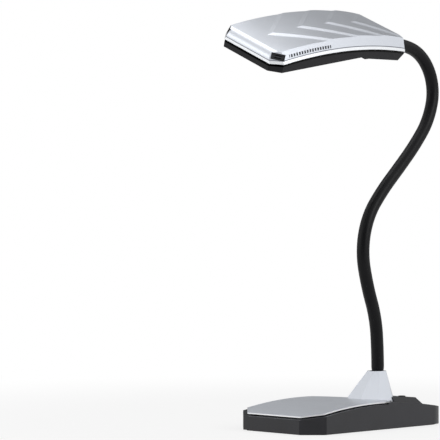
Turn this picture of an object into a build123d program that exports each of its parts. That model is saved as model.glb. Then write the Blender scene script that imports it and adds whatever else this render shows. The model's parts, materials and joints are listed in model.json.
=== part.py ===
from build123d import *
import os
from math import cos, radians, sin, sqrt

# A piano lamp: a low arched base that stands on the music desk, a rubber-sleeved gooseneck that
# rises from a faceted collar, and a long arched lamp head on a swivelling, tilting knuckle.
# Millimetres. The neck leaves the base on the Z axis, the lamp faces -Y and stands on Z = 0.

os.makedirs("parts", exist_ok=True)

# ---- Base: outline in plan ----
base_width = 120.0
base_front = 170.0          # front edge, ahead of the neck axis
base_rear = 46.0            # rear edge, behind the neck axis
base_chamfer = 20.0         # front corners, at 45 degrees
base_corner_radius = 30.0   # rear corners

# ---- Base: arched top, seen from the side ----
crown_height = 28.0
crown_ahead = 60.0          # crown line, ahead of the neck axis
edge_height = 17.0          # top of the front edge
shell_wall = 2.5
roof_thickness = 3.0
cover_thickness = 1.6
seam_side = 52.0            # where the silver cover ends on the flanks, ahead of the neck axis
seam_gap = 0.15

# ---- Base: bottom ----
pad_thickness = 1.5
pad_inset = 1.0             # pad edge inside the plate edge
rim_bottom = 1.0            # lower edge of the shell above the table
plate_thickness = 2.0
plate_clearance = 0.3
ballast_width = 84.0
ballast_length = 88.0
ballast_height = 11.0
ballast_ahead = 104.0       # middle of the ballast, ahead of the neck axis
post_radius = 3.8
screw_radius = 1.5
screw_head_radius = 2.9
screw_head_depth = 1.4
screw_length = 9.0
fit = 0.05                  # radial play of a pin or spigot in its hole

# ---- Hood with the two push buttons ----
hood_width = 44.0           # across the top
hood_front = 2.0            # front wall, ahead of the neck axis
hood_rear = 38.0            # rear top edge, behind the neck axis
hood_height = 29.7          # top face above the table, at its front
hood_fall = 2.4             # and lower than that at its rear
hood_spread = 5.5           # foot outside the top, at the sides and the rear
hood_corner = 5.0
hood_wall = 2.0
button_spread = 11.0        # each button, off the middle
button_behind = 28.0        # buttons, behind the neck axis
button_radius = 4.2
button_rise = 1.3
button_travel = 1.2
flange_radius = 5.2
flange_thickness = 1.2
stem_radius = 1.5
board_length = 15.0
board_width = 32.0
board_thickness = 1.6
board_drop = 9.0            # board top below the underside of the hood's roof
hanger_radius = 2.6
switch_size = 6.2
switch_well = 2.6
switch_height = 3.6

# ---- Power inlet, a 5.5 mm barrel socket ----
jack_bore_radius = 2.85
jack_bore_depth = 9.0
jack_nose_radius = 4.2
jack_height = 8.6           # axis above the table
jack_body = 9.0
jack_flange = 1.5

# ---- Collar and neck anchor ----
collar_top = 57.5
collar_wall = 2.6
collar_cap = 6.0            # solid top of the collar
collar_foot = ((11.0, -37.0), (24.0, -21.0), (24.0, -2.0), (13.0, 13.0))
collar_screw = (14.0, -17.0)
collar_lip = ((4.0, -9.0), (8.8, -5.0), (8.8, 4.0), (4.5, 9.0))
boss_radius = 9.2
boss_top = 27.0
boss_bottom = 13.0
anchor_radius = 6.2
anchor_flange_radius = 8.4
anchor_flange = 2.5
stud_radius = 5.0
stud_length = 20.5
nut_flats = 17.0
nut_thickness = 5.0
nut_washer = 1.2

# ---- Gooseneck ----
neck_length = 460.0
neck_turns = (4.5, 17.5, -8.5, -27.5, -26.5, -7.5, 1.5, 6.5, 25.0, 46.0, 44.5, 23.0)
sleeve_radius = 6.5
sleeve_wall = 1.5
sleeve_play = 0.3           # between the sleeve and the core inside it
sleeve_entry = 3.0          # sleeve inside the collar and inside the cuff
core_grip = 22.0            # core below the collar's top, in the anchor
cuff_grip = 11.0            # core past the neck end, in the cuff
core_bore = 2.0
ball_step = 0.2             # ball radius below the core radius
ball_play = 0.15
link_gap = 1.2              # start of a link past its joint, for bending room

# ---- Knuckle between neck and head ----
head_roll = 26.4            # lean of the head about the arm, right side down
head_reach = 28.3           # neck end to the head's rear end, along the arm
arm_drop = 12.0             # arm axis below the cover's lower edge
cuff_radius = 9.0
cuff_length = 16.5
cuff_lip = 2.2              # cuff mouth past the end of the neck line
swivel_washer_thickness = 1.0
swivel_washer_radius = 7.0
spindle_radius = 4.0
spindle_length = 17.0
clip_thickness = 1.0
clip_radius = 5.0
clip_groove = 0.8
clip_window = 5.0           # length of the arm's window for the clip
arm_width = 16.0
arm_rear_height = 15.0
arm_waist_height = 12.0
eye_radius = 8.0
pivot_inset = 22.0          # tilt axis, ahead of the head's rear end
pivot_radius = 2.5
tilt_washer_thickness = 1.2
bolt_head = 2.5
bolt_head_radius = 3.8

# ---- Head ----
head_length = 205.0
head_half = 43.4            # half width at the cover's lower edge
nose_half = 32.7            # half width of the front edge
nose_chamfer = 15.6         # length of the front corners
head_arch = 9.6             # rise of the cover's lower edge in the middle
nose_height = 12.0          # first chevron panel at the front, middle and rear
mid_height = 20.6
rear_height = 9.6
nose_radius = 7.5
side_lean = 0.53            # flank leans in by this much for each mm of height
cover_wall = 2.0
chevron_count = 4
chevron_first = 25.5        # first apex behind the front edge
chevron_pitch = 43.0
chevron_sweep = 1.42        # arm runs back this far for each mm sideways
chevron_step = 1.2
housing_inset = 0.4
housing_wall = 2.2
housing_floor = 2.0
front_depth = 6.2           # housing below the cover's lower edge, at the front edge
panel_end_depth = 0.6       # and where the light panel's plane ends
panel_end = 68.0            # that place, ahead of the rear end
deck_step = 1.6
rear_depth = 9.7
undercut = 8.0
undercut_depth = 2.0
knuckle_half = 16.0
knuckle_depth = 20.5
knuckle_front = 50.0
knuckle_bottom = (36.0, 8.0)   # flat underside, from and to, ahead of the rear end
slot_front = 31.0
slot_roof = 1.8             # slot above which the arm has room, below the rear end's edge

# ---- Light unit, in the plane of the light panel ----
panel_width = 74.0
panel_length = 107.0
panel_start = 14.0          # panel behind the front edge
panel_flange = 1.5
panel_flange_thickness = 1.2
frame_height = 4.0
frame_wall = 5.0
led_board_thickness = 1.6
spreader_thickness = 1.5
led_rows = 9
led_columns = 6
led_size = 3.0
led_height = 0.8
light_screw_radius = 1.2
light_screw_head = 2.2
light_screw_head_height = 1.3
rib_count = 7
rib_width = 1.6
rib_height = 1.4

# ---- Screws that hold the head cover ----
head_post_radius = 3.6
head_post_half = 33.0
head_post_rear = 14.0
head_post_front = 58.0
head_post_level = 1.0       # where post and boss meet, above the cover's lower edge
head_screw_radius = 1.25
head_screw_head = 2.6
head_screw_head_height = 1.6
head_screw_seat = 2.0
head_screw_reach = 6.0
head_screw_length = 14.0

# ---- Vents in the head cover ----
vent_width = 12.5
vent_height = 7.0
vent_rise = 6.4             # middle of the vent above the cover's lower edge
vent_depth = 2.6
vent_slot = 1.8
vent_set_back = 0.3
corner_lean = 0.3           # lean of the front corners, as side_lean
grille_length = 62.0
grille_start = 20.0
grille_rise = 7.0           # middle of the grille strip above the cover's lower edge
grille_height = 2.4
grille_depth = 1.4
grille_teeth = 16


def save(piece, name, place=Location()):
    """Label one sub-part and write it, put in its place, under its own name."""
    placed = place * piece.part
    placed.label = name
    export_step(placed, f"parts/{name}.step")


def mirrored(points):
    """A closed outline symmetric about x = 0, from the points of its right half."""
    return list(points) + [(-x, y) for x, y in reversed(points)]


# ================= Base =================

arch_rise = crown_height - edge_height
arch_half = base_front - crown_ahead
arch_radius = (arch_half**2 + arch_rise**2) / (2 * arch_rise)


def crown_at(y):
    """Height of the base's arched top at a distance y behind the neck axis."""
    return crown_height - arch_radius + sqrt(arch_radius**2 - (y + crown_ahead) ** 2)


def base_outline(inset=0.0):
    """Plan of the base, drawn smaller by inset, in the current sketch."""
    half = base_width / 2
    right = [(half - base_chamfer, -base_front), (half, base_chamfer - base_front), (half, base_rear)]
    Polygon(*mirrored(right), align=None)
    fillet(vertices().group_by(Axis.Y)[-1], base_corner_radius)
    if inset:
        offset(amount=-inset, mode=Mode.REPLACE)


def under_crown(drop):
    """Everything under the arched top, lowered by drop: a wide slab to intersect with."""
    reach = base_width + base_front
    with BuildPart() as slab:
        with BuildSketch(Plane.YZ):
            with Locations((-crown_ahead, crown_height - arch_radius)):
                Circle(arch_radius - drop)
            with Locations((-crown_ahead, 0)):
                Rectangle(2 * reach, 4 * crown_height, mode=Mode.INTERSECT)
        extrude(amount=reach, both=True)
    return slab.part


plate_bottom = pad_thickness
plate_top = plate_bottom + plate_thickness
crown_slab = under_crown(0)
cover_slab = under_crown(cover_thickness)
inner_inset = shell_wall + plate_clearance


def seam_outline(clearance):
    """Region of the silver cover: everything ahead of the seam, less a clearance."""
    half = base_width / 2
    right = [(half, -base_front), (half, -seam_side - clearance), (hood_width / 2, -hood_front - clearance)]
    Polygon(*mirrored(right), align=None, mode=Mode.INTERSECT)


# Posts for the base screws stand in the four corners of the shell.
post_x = base_width / 2 - base_chamfer
post_places = [
    (x, y)
    for x in (-post_x, post_x)
    for y in (base_chamfer / 2 - base_front + shell_wall + post_radius, base_rear - base_corner_radius)
]
collar_screw_places = [(collar_screw[0], collar_screw[1]), (-collar_screw[0], collar_screw[1])]
roof_drop = cover_thickness + roof_thickness
roof_slab = under_crown(roof_drop)
screw_seat = crown_at(collar_screw[1] + post_radius) - roof_drop - seam_gap

with BuildPart() as base_shell:
    with BuildSketch(Plane.XY.offset(rim_bottom)):
        base_outline()
    extrude(amount=crown_height)
    add(crown_slab, mode=Mode.INTERSECT)
    # recess that carries the silver cover
    with BuildSketch(Plane.XY.offset(crown_height)):
        base_outline(-seam_gap)
        seam_outline(0)
    recess = extrude(amount=-crown_height, mode=Mode.PRIVATE) - cover_slab
    add(recess, mode=Mode.SUBTRACT)
    # hollow under the roof
    with BuildSketch(Plane.XY.offset(rim_bottom)):
        base_outline(shell_wall)
    hollow = extrude(amount=crown_height, mode=Mode.PRIVATE) & roof_slab
    add(hollow, mode=Mode.SUBTRACT)
    # boss that carries the neck, bosses for the collar's screws, and the corner posts
    with BuildSketch(Plane.XY.offset(boss_bottom)):
        Circle(boss_radius)
    extrude(amount=boss_top - boss_bottom)
    with BuildSketch(Plane.XY.offset(plate_top)):
        with Locations(*post_places):
            Circle(post_radius)
    with BuildSketch(Plane.XY.offset(screw_seat)):
        with Locations(*collar_screw_places):
            Circle(post_radius)
    columns = extrude(amount=crown_height, mode=Mode.PRIVATE) & under_crown(cover_thickness + seam_gap)
    add(columns)
    with BuildSketch(Plane.XY.offset(plate_top)):
        with Locations(*post_places):
            Circle(screw_radius + fit)
    extrude(amount=screw_length, mode=Mode.SUBTRACT)
    with BuildSketch(Plane.XY.offset(screw_seat)):
        with Locations(*collar_screw_places):
            Circle(screw_radius + fit)
    extrude(amount=crown_height, mode=Mode.SUBTRACT)
    # hole for the neck stud
    with BuildSketch(Plane.XY.offset(boss_bottom)):
        Circle(stud_radius + fit)
    extrude(amount=boss_top - boss_bottom, mode=Mode.SUBTRACT)
    # opening under the hood for the control board
    with BuildSketch(Plane.XY.offset(boss_bottom)):
        with Locations((0, button_behind)):
            Rectangle(board_width + 2 * plate_clearance, board_length + 2 * plate_clearance)
    extrude(amount=crown_height, mode=Mode.SUBTRACT)
    # hole for the power inlet in the rear wall
    with BuildSketch(Plane.XZ.offset(-base_rear)):
        with Locations((0, jack_height)):
            Circle(jack_nose_radius + fit)
    extrude(amount=shell_wall, mode=Mode.SUBTRACT)
save(base_shell, "base_shell")

with BuildPart() as base_cover:
    with BuildSketch(Plane.XY.offset(rim_bottom)):
        base_outline()
        seam_outline(seam_gap)
    extrude(amount=crown_height)
    add(crown_slab, mode=Mode.INTERSECT)
    add(cover_slab, mode=Mode.SUBTRACT)
    with BuildSketch(Plane.XY):
        Circle(boss_radius + seam_gap)
        with Locations(*collar_screw_places):
            Circle(screw_radius + fit)
    extrude(amount=2 * crown_height, mode=Mode.SUBTRACT)
save(base_cover, "base_cover")

with BuildPart() as base_plate:
    with BuildSketch(Plane.XY.offset(plate_bottom)):
        base_outline(inner_inset)
    extrude(amount=plate_thickness)
    with Locations(*[Plane(origin=(x, y, plate_bottom), z_dir=(0, 0, -1)) for x, y in post_places]):
        CounterSinkHole(screw_radius + fit, screw_head_radius + fit, plate_thickness, 90)
save(base_plate, "base_plate")

with BuildPart() as base_pad:
    with BuildSketch(Plane.XY):
        base_outline(inner_inset + pad_inset)
    extrude(amount=pad_thickness)
save(base_pad, "base_pad")

with BuildPart() as ballast:
    with BuildSketch(Plane.XY.offset(plate_top)):
        with Locations((0, -ballast_ahead)):
            RectangleRounded(ballast_width, ballast_length, post_radius)
    extrude(amount=ballast_height)
    chamfer(ballast.faces().sort_by(Axis.Z)[-1].edges(), 1.0)
save(ballast, "ballast")


def screws(places, seat, head_radius, head_height, shank_radius, reach, plane=Plane.XY):
    """A group of equal screws standing on their heads, their shanks pointing up the plane's normal."""
    with BuildPart() as group:
        with BuildSketch(plane.offset(seat - head_height)):
            with Locations(*places):
                Circle(head_radius)
        extrude(amount=head_height)
        with BuildSketch(plane.offset(seat)):
            with Locations(*places):
                Circle(shank_radius)
        extrude(amount=reach)
    return group


with BuildPart() as base_screws:
    with BuildSketch(Plane.XZ):
        with BuildLine():
            Polyline(
                (0, plate_bottom), (screw_head_radius, plate_bottom),
                (screw_radius, plate_bottom + screw_head_depth), (screw_radius, plate_top + screw_length - 1),
                (0, plate_top + screw_length - 1), close=True,
            )
        make_face()
    one_screw = revolve(axis=Axis.Z, mode=Mode.PRIVATE)
    with Locations(*post_places):
        add(one_screw)
save(base_screws, "base_screws")

collar_screws = screws(
    collar_screw_places, screw_seat, screw_head_radius, screw_head_depth, screw_radius, screw_length
)
save(collar_screws, "collar_screws")

# ================= Collar and hood on the base =================

collar_base = crown_at(hood_rear)


def collar_block(inset):
    """The collar's faceted pyramid, drawn smaller by inset (larger where inset is negative)."""
    with BuildPart() as block:
        for level, outline in ((collar_base, collar_foot), (collar_top, collar_lip)):
            with BuildSketch(Plane.XY.offset(level)):
                Polygon(*mirrored(outline), align=None)
                if inset:
                    offset(amount=-inset, kind=Kind.INTERSECTION, mode=Mode.REPLACE)
        loft()
    return block.part


def hood_block(inset):
    """The hood's drafted block, drawn smaller by inset on every side."""
    foot = crown_at(base_rear) - seam_gap
    half = hood_width / 2
    with BuildPart() as block:
        for level, spread in ((foot, hood_spread), (hood_height, 0)):
            with BuildSketch(Plane.XY.offset(level)):
                right = [(half + spread, -hood_front), (half + spread, hood_rear + spread)]
                Polygon(*mirrored(right), align=None)
                fillet(vertices().group_by(Axis.Y)[-1], hood_corner)
                if inset:
                    offset(amount=-inset, mode=Mode.REPLACE)
        loft()
        with BuildSketch(Plane.YZ):
            top = [(-hood_front, hood_height - inset), (hood_rear, hood_height - hood_fall - inset)]
            slope = (top[1][1] - top[0][1]) / (top[1][0] - top[0][0])
            Polygon(
                (-base_front, 0), (base_front, 0), (base_front, top[0][1] + slope * base_front),
                (-base_front, top[0][1] - slope * base_front), align=None,
            )
        extrude(amount=base_width, both=True, mode=Mode.INTERSECT)
    return block.part


hood_roof = hood_height - hood_fall - hood_wall
board_top = hood_roof - board_drop
button_places = [(-button_spread, button_behind), (button_spread, button_behind)]
hood_top = hood_height - hood_fall * (button_behind + hood_front) / (hood_rear + hood_front)
collar_room = collar_block(-seam_gap)
collar_wrap = collar_block(-seam_gap - hood_wall)
hood_solid = hood_block(0) - collar_room
with BuildPart() as level_room:
    with BuildSketch(Plane.XY):
        Rectangle(2 * base_width, 2 * base_front)
    extrude(amount=hood_roof)
hood_core = (hood_block(hood_wall) & level_room.part) - collar_wrap

with BuildPart() as rear_hood:
    add(hood_solid)
    add(hood_core, mode=Mode.SUBTRACT)
    add(crown_slab, mode=Mode.SUBTRACT)
    # hanger between the buttons that carries the control board
    with BuildSketch(Plane.XY.offset(board_top)):
        with Locations((0, button_behind)):
            Circle(hanger_radius)
    extrude(amount=board_drop + hood_wall / 2)
    with BuildSketch(Plane.XY.offset(board_top)):
        with Locations((0, button_behind)):
            Circle(screw_radius - fit)
    extrude(amount=board_drop - hood_wall, mode=Mode.SUBTRACT)
    with BuildSketch(Plane.XY.offset(hood_roof)):
        with Locations(*button_places):
            Circle(button_radius + 3 * fit)
    extrude(amount=hood_height, mode=Mode.SUBTRACT)
save(rear_hood, "rear_hood")

# ================= Buttons and electronics in the base =================

with BuildPart() as control_board:
    with BuildSketch(Plane.XY.offset(board_top - board_thickness)):
        with Locations((0, button_behind)):
            Rectangle(board_width, board_length)
            Circle(screw_radius - fit, mode=Mode.SUBTRACT)
    extrude(amount=board_thickness)
save(control_board, "control_board")

board_screw = screws(
    [(0, button_behind)], board_top - board_thickness, screw_head_radius, screw_head_depth,
    screw_radius - 2 * fit, board_drop - hood_wall
)
save(board_screw, "board_screw")

with BuildPart() as button_switches:
    with BuildSketch(Plane.XY.offset(board_top)):
        with Locations(*button_places):
            Rectangle(switch_size, switch_size)
    extrude(amount=switch_height)
    with BuildSketch(Plane.XY.offset(board_top + switch_height)):
        with Locations(*button_places):
            Circle(stem_radius + 3 * fit)
    extrude(amount=-switch_well, mode=Mode.SUBTRACT)
save(button_switches, "button_switches")

stem_bottom = board_top + switch_height - switch_well + button_travel + 2 * fit
for button_name, (x, y) in zip(("power_button", "dimmer_button"), button_places):
    with BuildPart() as button:
        with BuildSketch(Plane.XY.offset(hood_roof)):
            with Locations((x, y)):
                Circle(button_radius)
        extrude(amount=hood_top + button_rise - hood_roof)
        chamfer(button.faces().sort_by(Axis.Z)[-1].edges(), 0.5)
        with BuildSketch(Plane.XY.offset(hood_roof)):
            with Locations((x, y)):
                Circle(flange_radius)
        extrude(amount=-flange_thickness)
        with BuildSketch(Plane.XY.offset(stem_bottom)):
            with Locations((x, y)):
                Circle(stem_radius)
        extrude(amount=hood_roof - stem_bottom)
    save(button, button_name)

inlet = Plane(origin=(0, base_rear, jack_height), x_dir=(1, 0, 0), z_dir=(0, -1, 0))

with BuildPart() as dc_jack:
    with BuildSketch(inlet):
        Circle(jack_nose_radius)
    extrude(amount=shell_wall)
    with BuildSketch(inlet.offset(shell_wall)):
        Rectangle(jack_body + 2 * jack_flange, jack_body)
    extrude(amount=jack_flange)
    with BuildSketch(inlet.offset(shell_wall + jack_flange)):
        Rectangle(jack_body, jack_body)
    extrude(amount=jack_bore_depth)
    with BuildSketch(inlet):
        Circle(jack_bore_radius)
    extrude(amount=jack_bore_depth, mode=Mode.SUBTRACT)
save(dc_jack, "dc_jack")

# ================= Collar and neck anchor =================

core_radius = sleeve_radius - sleeve_wall - sleeve_play
anchor_top = collar_top - collar_cap - seam_gap
collar_solid = collar_block(0)
collar_core = collar_block(collar_wall)

with BuildPart() as collar:
    add(collar_solid)
    with BuildSketch(Plane.XY.offset(collar_base)):
        Rectangle(base_width, base_width)
    room = extrude(amount=anchor_top + seam_gap - collar_base, mode=Mode.PRIVATE) & collar_core
    add(room, mode=Mode.SUBTRACT)
    # posts for the two screws that come up through the base
    with BuildSketch(Plane.XY.offset(collar_base)):
        with Locations(*collar_screw_places):
            Circle(post_radius)
    add(extrude(amount=crown_height, mode=Mode.PRIVATE) & collar_solid)
    with BuildSketch(Plane.XY.offset(screw_seat)):
        with Locations(*collar_screw_places):
            Circle(screw_radius + fit)
    extrude(amount=screw_length + seam_gap, mode=Mode.SUBTRACT)
    add(crown_slab, mode=Mode.SUBTRACT)
    # mouth for the rubber sleeve, and the way through for the neck core
    with BuildSketch(Plane.XY.offset(collar_top)):
        Circle(sleeve_radius + sleeve_play)
    extrude(amount=-sleeve_entry - seam_gap, mode=Mode.SUBTRACT)
    with BuildSketch(Plane.XY.offset(collar_top)):
        Circle(core_radius + sleeve_play)
    extrude(amount=-collar_cap - seam_gap, mode=Mode.SUBTRACT)
save(collar, "collar")

with BuildPart() as neck_anchor:
    with BuildSketch(Plane.XY.offset(boss_top - stud_length)):
        Circle(stud_radius)
    extrude(amount=stud_length)
    with BuildSketch(Plane.XY.offset(boss_top)):
        Circle(anchor_flange_radius)
    extrude(amount=anchor_flange)
    with BuildSketch(Plane.XY.offset(boss_top)):
        Circle(anchor_radius)
    extrude(amount=anchor_top - boss_top)
    with BuildSketch(Plane.XY.offset(collar_top - core_grip)):
        Circle(core_radius + fit)
    extrude(amount=core_grip, mode=Mode.SUBTRACT)
    with BuildSketch(Plane.XY):
        Circle(core_bore)
    extrude(amount=collar_top, mode=Mode.SUBTRACT)
save(neck_anchor, "neck_anchor")

with BuildPart() as neck_washer:
    with BuildSketch(Plane.XY.offset(boss_bottom - nut_washer)):
        Circle(boss_radius)
        Circle(stud_radius + fit, mode=Mode.SUBTRACT)
    extrude(amount=nut_washer)
save(neck_washer, "neck_washer")

with BuildPart() as neck_nut:
    with BuildSketch(Plane.XY.offset(boss_bottom - nut_washer)):
        RegularPolygon(nut_flats / 2, 6, major_radius=False)
        Circle(stud_radius + fit, mode=Mode.SUBTRACT)
    extrude(amount=-nut_thickness)
save(neck_nut, "neck_nut")

# ================= Gooseneck =================

link_count = len(neck_turns)
link_length = neck_length / link_count


def neck_stations():
    """Joint points of the neck as (y, z, heading in degrees), following one arc after another."""
    y, z, heading = 0.0, collar_top, 90.0
    stations = [(y, z, heading)]
    for turn in neck_turns:
        half = radians(turn / 2)
        chord = link_length * sin(half) / half
        y += chord * cos(radians(heading) + half)
        z += chord * sin(radians(heading) + half)
        heading += turn
        stations.append((y, z, heading))
    return stations


neck_line = neck_stations()


def neck_at(s):
    """Point and heading of the neck's centre line at a length s above the collar."""
    index = min(max(int(s // link_length), 0), link_count - 1)
    y, z, heading = neck_line[index]
    part_way = s - index * link_length
    if s < 0 or s > neck_length:
        y, z, heading = neck_line[0 if s < 0 else -1]
        beyond = s if s < 0 else s - neck_length
        return y + beyond * cos(radians(heading)), z + beyond * sin(radians(heading)), heading
    half = radians(neck_turns[index] / 2) * part_way / link_length
    chord = part_way * sin(half) / half if half else part_way
    y += chord * cos(radians(heading) + half)
    z += chord * sin(radians(heading) + half)
    return y, z, heading + 2 * half * 180 / 3.141592653589793


def neck_plane(s):
    """Plane across the neck at a length s, its normal along the neck and its x to the right."""
    y, z, heading = neck_at(s)
    return Plane(origin=(0, y, z), x_dir=(1, 0, 0), z_dir=(0, cos(radians(heading)), sin(radians(heading))))


def neck_path(start, end):
    """Draw the neck's centre line between two lengths in the current BuildLine on Plane.YZ."""
    joints = [k * link_length for k in range(link_count + 1)]
    stops = [start] + [s for s in joints if start + fit < s < end - fit] + [end]
    for a, b in zip(stops, stops[1:]):
        first, middle, last = (neck_at(s)[:2] for s in (a, (a + b) / 2, b))
        if a < 0 or b > neck_length:
            Line(first, last)
        else:
            ThreePointArc(first, middle, last)


def neck_tube(radius, start, end):
    """A round bar along the neck between two lengths."""
    with BuildPart() as bar:
        with BuildLine(Plane.YZ):
            neck_path(start, end)
        with BuildSketch(neck_plane(start)):
            Circle(radius)
        sweep()
    return bar.part


ball_radius = core_radius - ball_step

for k in range(link_count):
    first_link, last_link = k == 0, k == link_count - 1
    low = -core_grip if first_link else k * link_length + link_gap
    high = neck_length + cuff_grip if last_link else (k + 1) * link_length
    reach = high if last_link else high + 2 * ball_radius
    link_bar = neck_tube(core_radius, low, high)
    link_bore = neck_tube(core_bore, low - ball_radius, reach)
    with BuildPart() as neck_link:
        add(link_bar)
        if not last_link:
            with Locations(neck_plane(high)):
                Sphere(ball_radius)
        if not first_link:
            with Locations(neck_plane(k * link_length)):
                Sphere(ball_radius + ball_play, mode=Mode.SUBTRACT)
        add(link_bore, mode=Mode.SUBTRACT)
    save(neck_link, f"neck_link_{k + 1:02d}")

for k in range(1, link_count):
    low = -sleeve_entry if k == 1 else (k - 0.5) * link_length
    high = neck_length + sleeve_entry if k == link_count - 1 else (k + 0.5) * link_length
    outside = neck_tube(sleeve_radius, low, high)
    inside = neck_tube(sleeve_radius - sleeve_wall, low, high)
    with BuildPart() as neck_sleeve:
        add(outside)
        add(inside, mode=Mode.SUBTRACT)
    save(neck_sleeve, f"neck_sleeve_{k:02d}")

# ================= Head frame =================
# The head is drawn level: x to its right, y back along the arm, z up, with the middle of the
# rear end's lower edge at the origin. head_place then puts it on the end of the neck.

end_y, end_z, end_heading = neck_line[-1]
arm_slope = radians(end_heading - 180)
arm_roll = radians(head_roll)
to_rear = Vector(0, cos(arm_slope), sin(arm_slope))
to_right = Vector(cos(arm_roll), sin(arm_roll) * sin(arm_slope), -sin(arm_roll) * cos(arm_slope))
to_top = to_right.cross(to_rear)
head_origin = Vector(0, end_y, end_z) - to_rear * head_reach + to_top * arm_drop
head_place = Plane(origin=head_origin, x_dir=to_right, z_dir=to_top).location
edge_radius = (head_length**2 / 4 + head_arch**2) / (2 * head_arch)


def edge_at(y):
    """Height of the head cover's arched lower edge at a place y along the head."""
    return head_arch - edge_radius + sqrt(edge_radius**2 - (y + head_length / 2) ** 2)


def under_edge(rise):
    """Everything under the cover's lower edge moved up by rise: a wide slab to intersect with."""
    with BuildPart() as slab:
        with BuildSketch(Plane.YZ):
            with Locations((-head_length / 2, head_arch - edge_radius + rise)):
                Circle(edge_radius)
            with Locations((-head_length / 2, 0)):
                Rectangle(2 * head_length, 2 * head_length, mode=Mode.INTERSECT)
        extrude(amount=2 * head_half, both=True)
    return slab.part


def head_outline(inset=0.0):
    """Plan of the head, drawn smaller by inset, in the current sketch."""
    corner = sqrt(nose_chamfer**2 - (head_half - nose_half) ** 2)
    right = [(nose_half, -head_length), (head_half, corner - head_length), (head_half, 0)]
    Polygon(*mirrored(right), align=None)
    if inset:
        offset(amount=-inset, kind=Kind.INTERSECTION, mode=Mode.REPLACE)


def corner_plane(side):
    """Leaning plane of a front corner: x along the corner, z outward. Side is 1 or -1."""
    run = sqrt(nose_chamfer**2 - (head_half - nose_half) ** 2)
    along = Vector(side * (head_half - nose_half), run, 0).normalized()
    outward = (Vector(side * run, nose_half - head_half, 0).normalized() + Vector(0, 0, corner_lean)).normalized()
    middle = Vector(side * (head_half + nose_half) / 2, run / 2 - head_length, edge_at(run - head_length))
    return Plane(origin=middle, x_dir=along * side, z_dir=outward)


def cover_block(inset):
    """Solid under the head's stepped top and inside its leaning flanks, drawn smaller by inset."""
    rear_top = rear_height + chevron_count * chevron_step
    with BuildPart() as block:
        for k in range(chevron_count + 1):
            rise = k * chevron_step - inset
            with BuildSketch(Plane.YZ):
                with BuildLine():
                    crest = ThreePointArc(
                        (inset - head_length, nose_height + rise), (-head_length / 2, mid_height + rise),
                        (-inset, rear_height + rise),
                    )
                    Polyline(crest @ 0, (inset - head_length, -front_depth), (-inset, -front_depth), crest @ 1)
                make_face()
                fillet(vertices().group_by(Axis.Y)[0].sort_by(Axis.Z)[-1], nose_radius - inset)
            panel = extrude(amount=head_half, both=True, mode=Mode.PRIVATE)
            if k:
                apex = chevron_first + (k - 1) * chevron_pitch - head_length
                apex += inset * sqrt(1 + chevron_sweep**2)
                with BuildSketch(Plane.XY.offset(-front_depth)):
                    right = [(head_half, apex + chevron_sweep * head_half), (head_half, head_half)]
                    Polygon((0, apex), *mirrored(right), align=None)
                panel = panel & extrude(amount=front_depth + 2 * rear_top, mode=Mode.PRIVATE)
            add(panel)
        with BuildSketch(Plane.XY.offset(-front_depth)):
            head_outline(inset)
        extrude(amount=front_depth + 2 * rear_top, mode=Mode.INTERSECT)
        for side in (1, -1):
            lift = 2 * rear_top
            inner = head_half - side_lean * lift - inset * sqrt(1 + side_lean**2)
            with BuildSketch(Plane.YZ.offset(side * inner)):
                with Locations((-head_length / 2, lift)):
                    Rectangle(2 * head_length, 2 * lift, align=(Align.CENTER, Align.MIN))
                with Locations((-head_length / 2, head_arch - edge_radius + lift)):
                    Circle(edge_radius, mode=Mode.SUBTRACT)
            extrude(amount=3 * lift, dir=(side * side_lean, 0, -1), mode=Mode.SUBTRACT)
            with BuildSketch(corner_plane(side).offset(-inset)):
                Rectangle(head_half, 2 * head_half)
            extrude(amount=head_half, mode=Mode.SUBTRACT)
    return block.part


# ================= Head cover with its vents =================

edge_slab = under_edge(0)
cover_solid = cover_block(0) - edge_slab
cover_core = cover_block(cover_wall)
vent_floor = cover_block(grille_depth)
tooth_floor = cover_block(grille_depth / 2)
screw_places = [(x, y) for x in (-head_post_half, head_post_half) for y in (-head_post_rear, -head_post_front)]


def grille_band(margin):
    """Two strips of the flanks' skin, following the lower edge, drawn smaller by margin."""
    half = grille_height / 2 - margin
    long_half = grille_length / 2 - margin
    strip = under_edge(grille_rise + half) - under_edge(grille_rise - half)
    with BuildPart() as band:
        with BuildSketch(Plane.XY.offset(-rear_depth)):
            with Locations((0, grille_start + grille_length / 2 - head_length)):
                Rectangle(4 * head_half, 2 * long_half)
        extrude(amount=4 * mid_height)
    return (strip & band.part) - vent_floor


def vent_pocket(side, margin, depth):
    """Pocket of one corner vent, drawn smaller by margin, seen square to the corner."""
    with BuildPart() as pocket:
        with BuildSketch(corner_plane(side)):
            with Locations((0, vent_rise)):
                RectangleRounded(vent_width - 2 * margin, vent_height - 2 * margin, 1.0)
        extrude(amount=-depth)
    return pocket.part


groove = grille_band(0)
pockets = [vent_pocket(side, 0, vent_depth) for side in (1, -1)]

with BuildPart() as head_cover:
    add(cover_solid)
    add(cover_core, mode=Mode.SUBTRACT)
    # bosses for the four screws, and seats behind the corner vents
    with BuildSketch(Plane.XY):
        with Locations(*screw_places):
            Circle(head_post_radius)
    posts = extrude(amount=2 * mid_height, mode=Mode.PRIVATE)
    add((posts & cover_solid) - under_edge(head_post_level))
    with BuildSketch(Plane.XY):
        with Locations(*screw_places):
            Circle(head_screw_radius - fit)
    extrude(amount=edge_at(-head_post_front) + head_post_level + head_screw_reach, mode=Mode.SUBTRACT)
    for pocket in pockets:
        add(pocket, mode=Mode.SUBTRACT)
    add(groove, mode=Mode.SUBTRACT)
save(head_cover, "head_cover", head_place)

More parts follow.
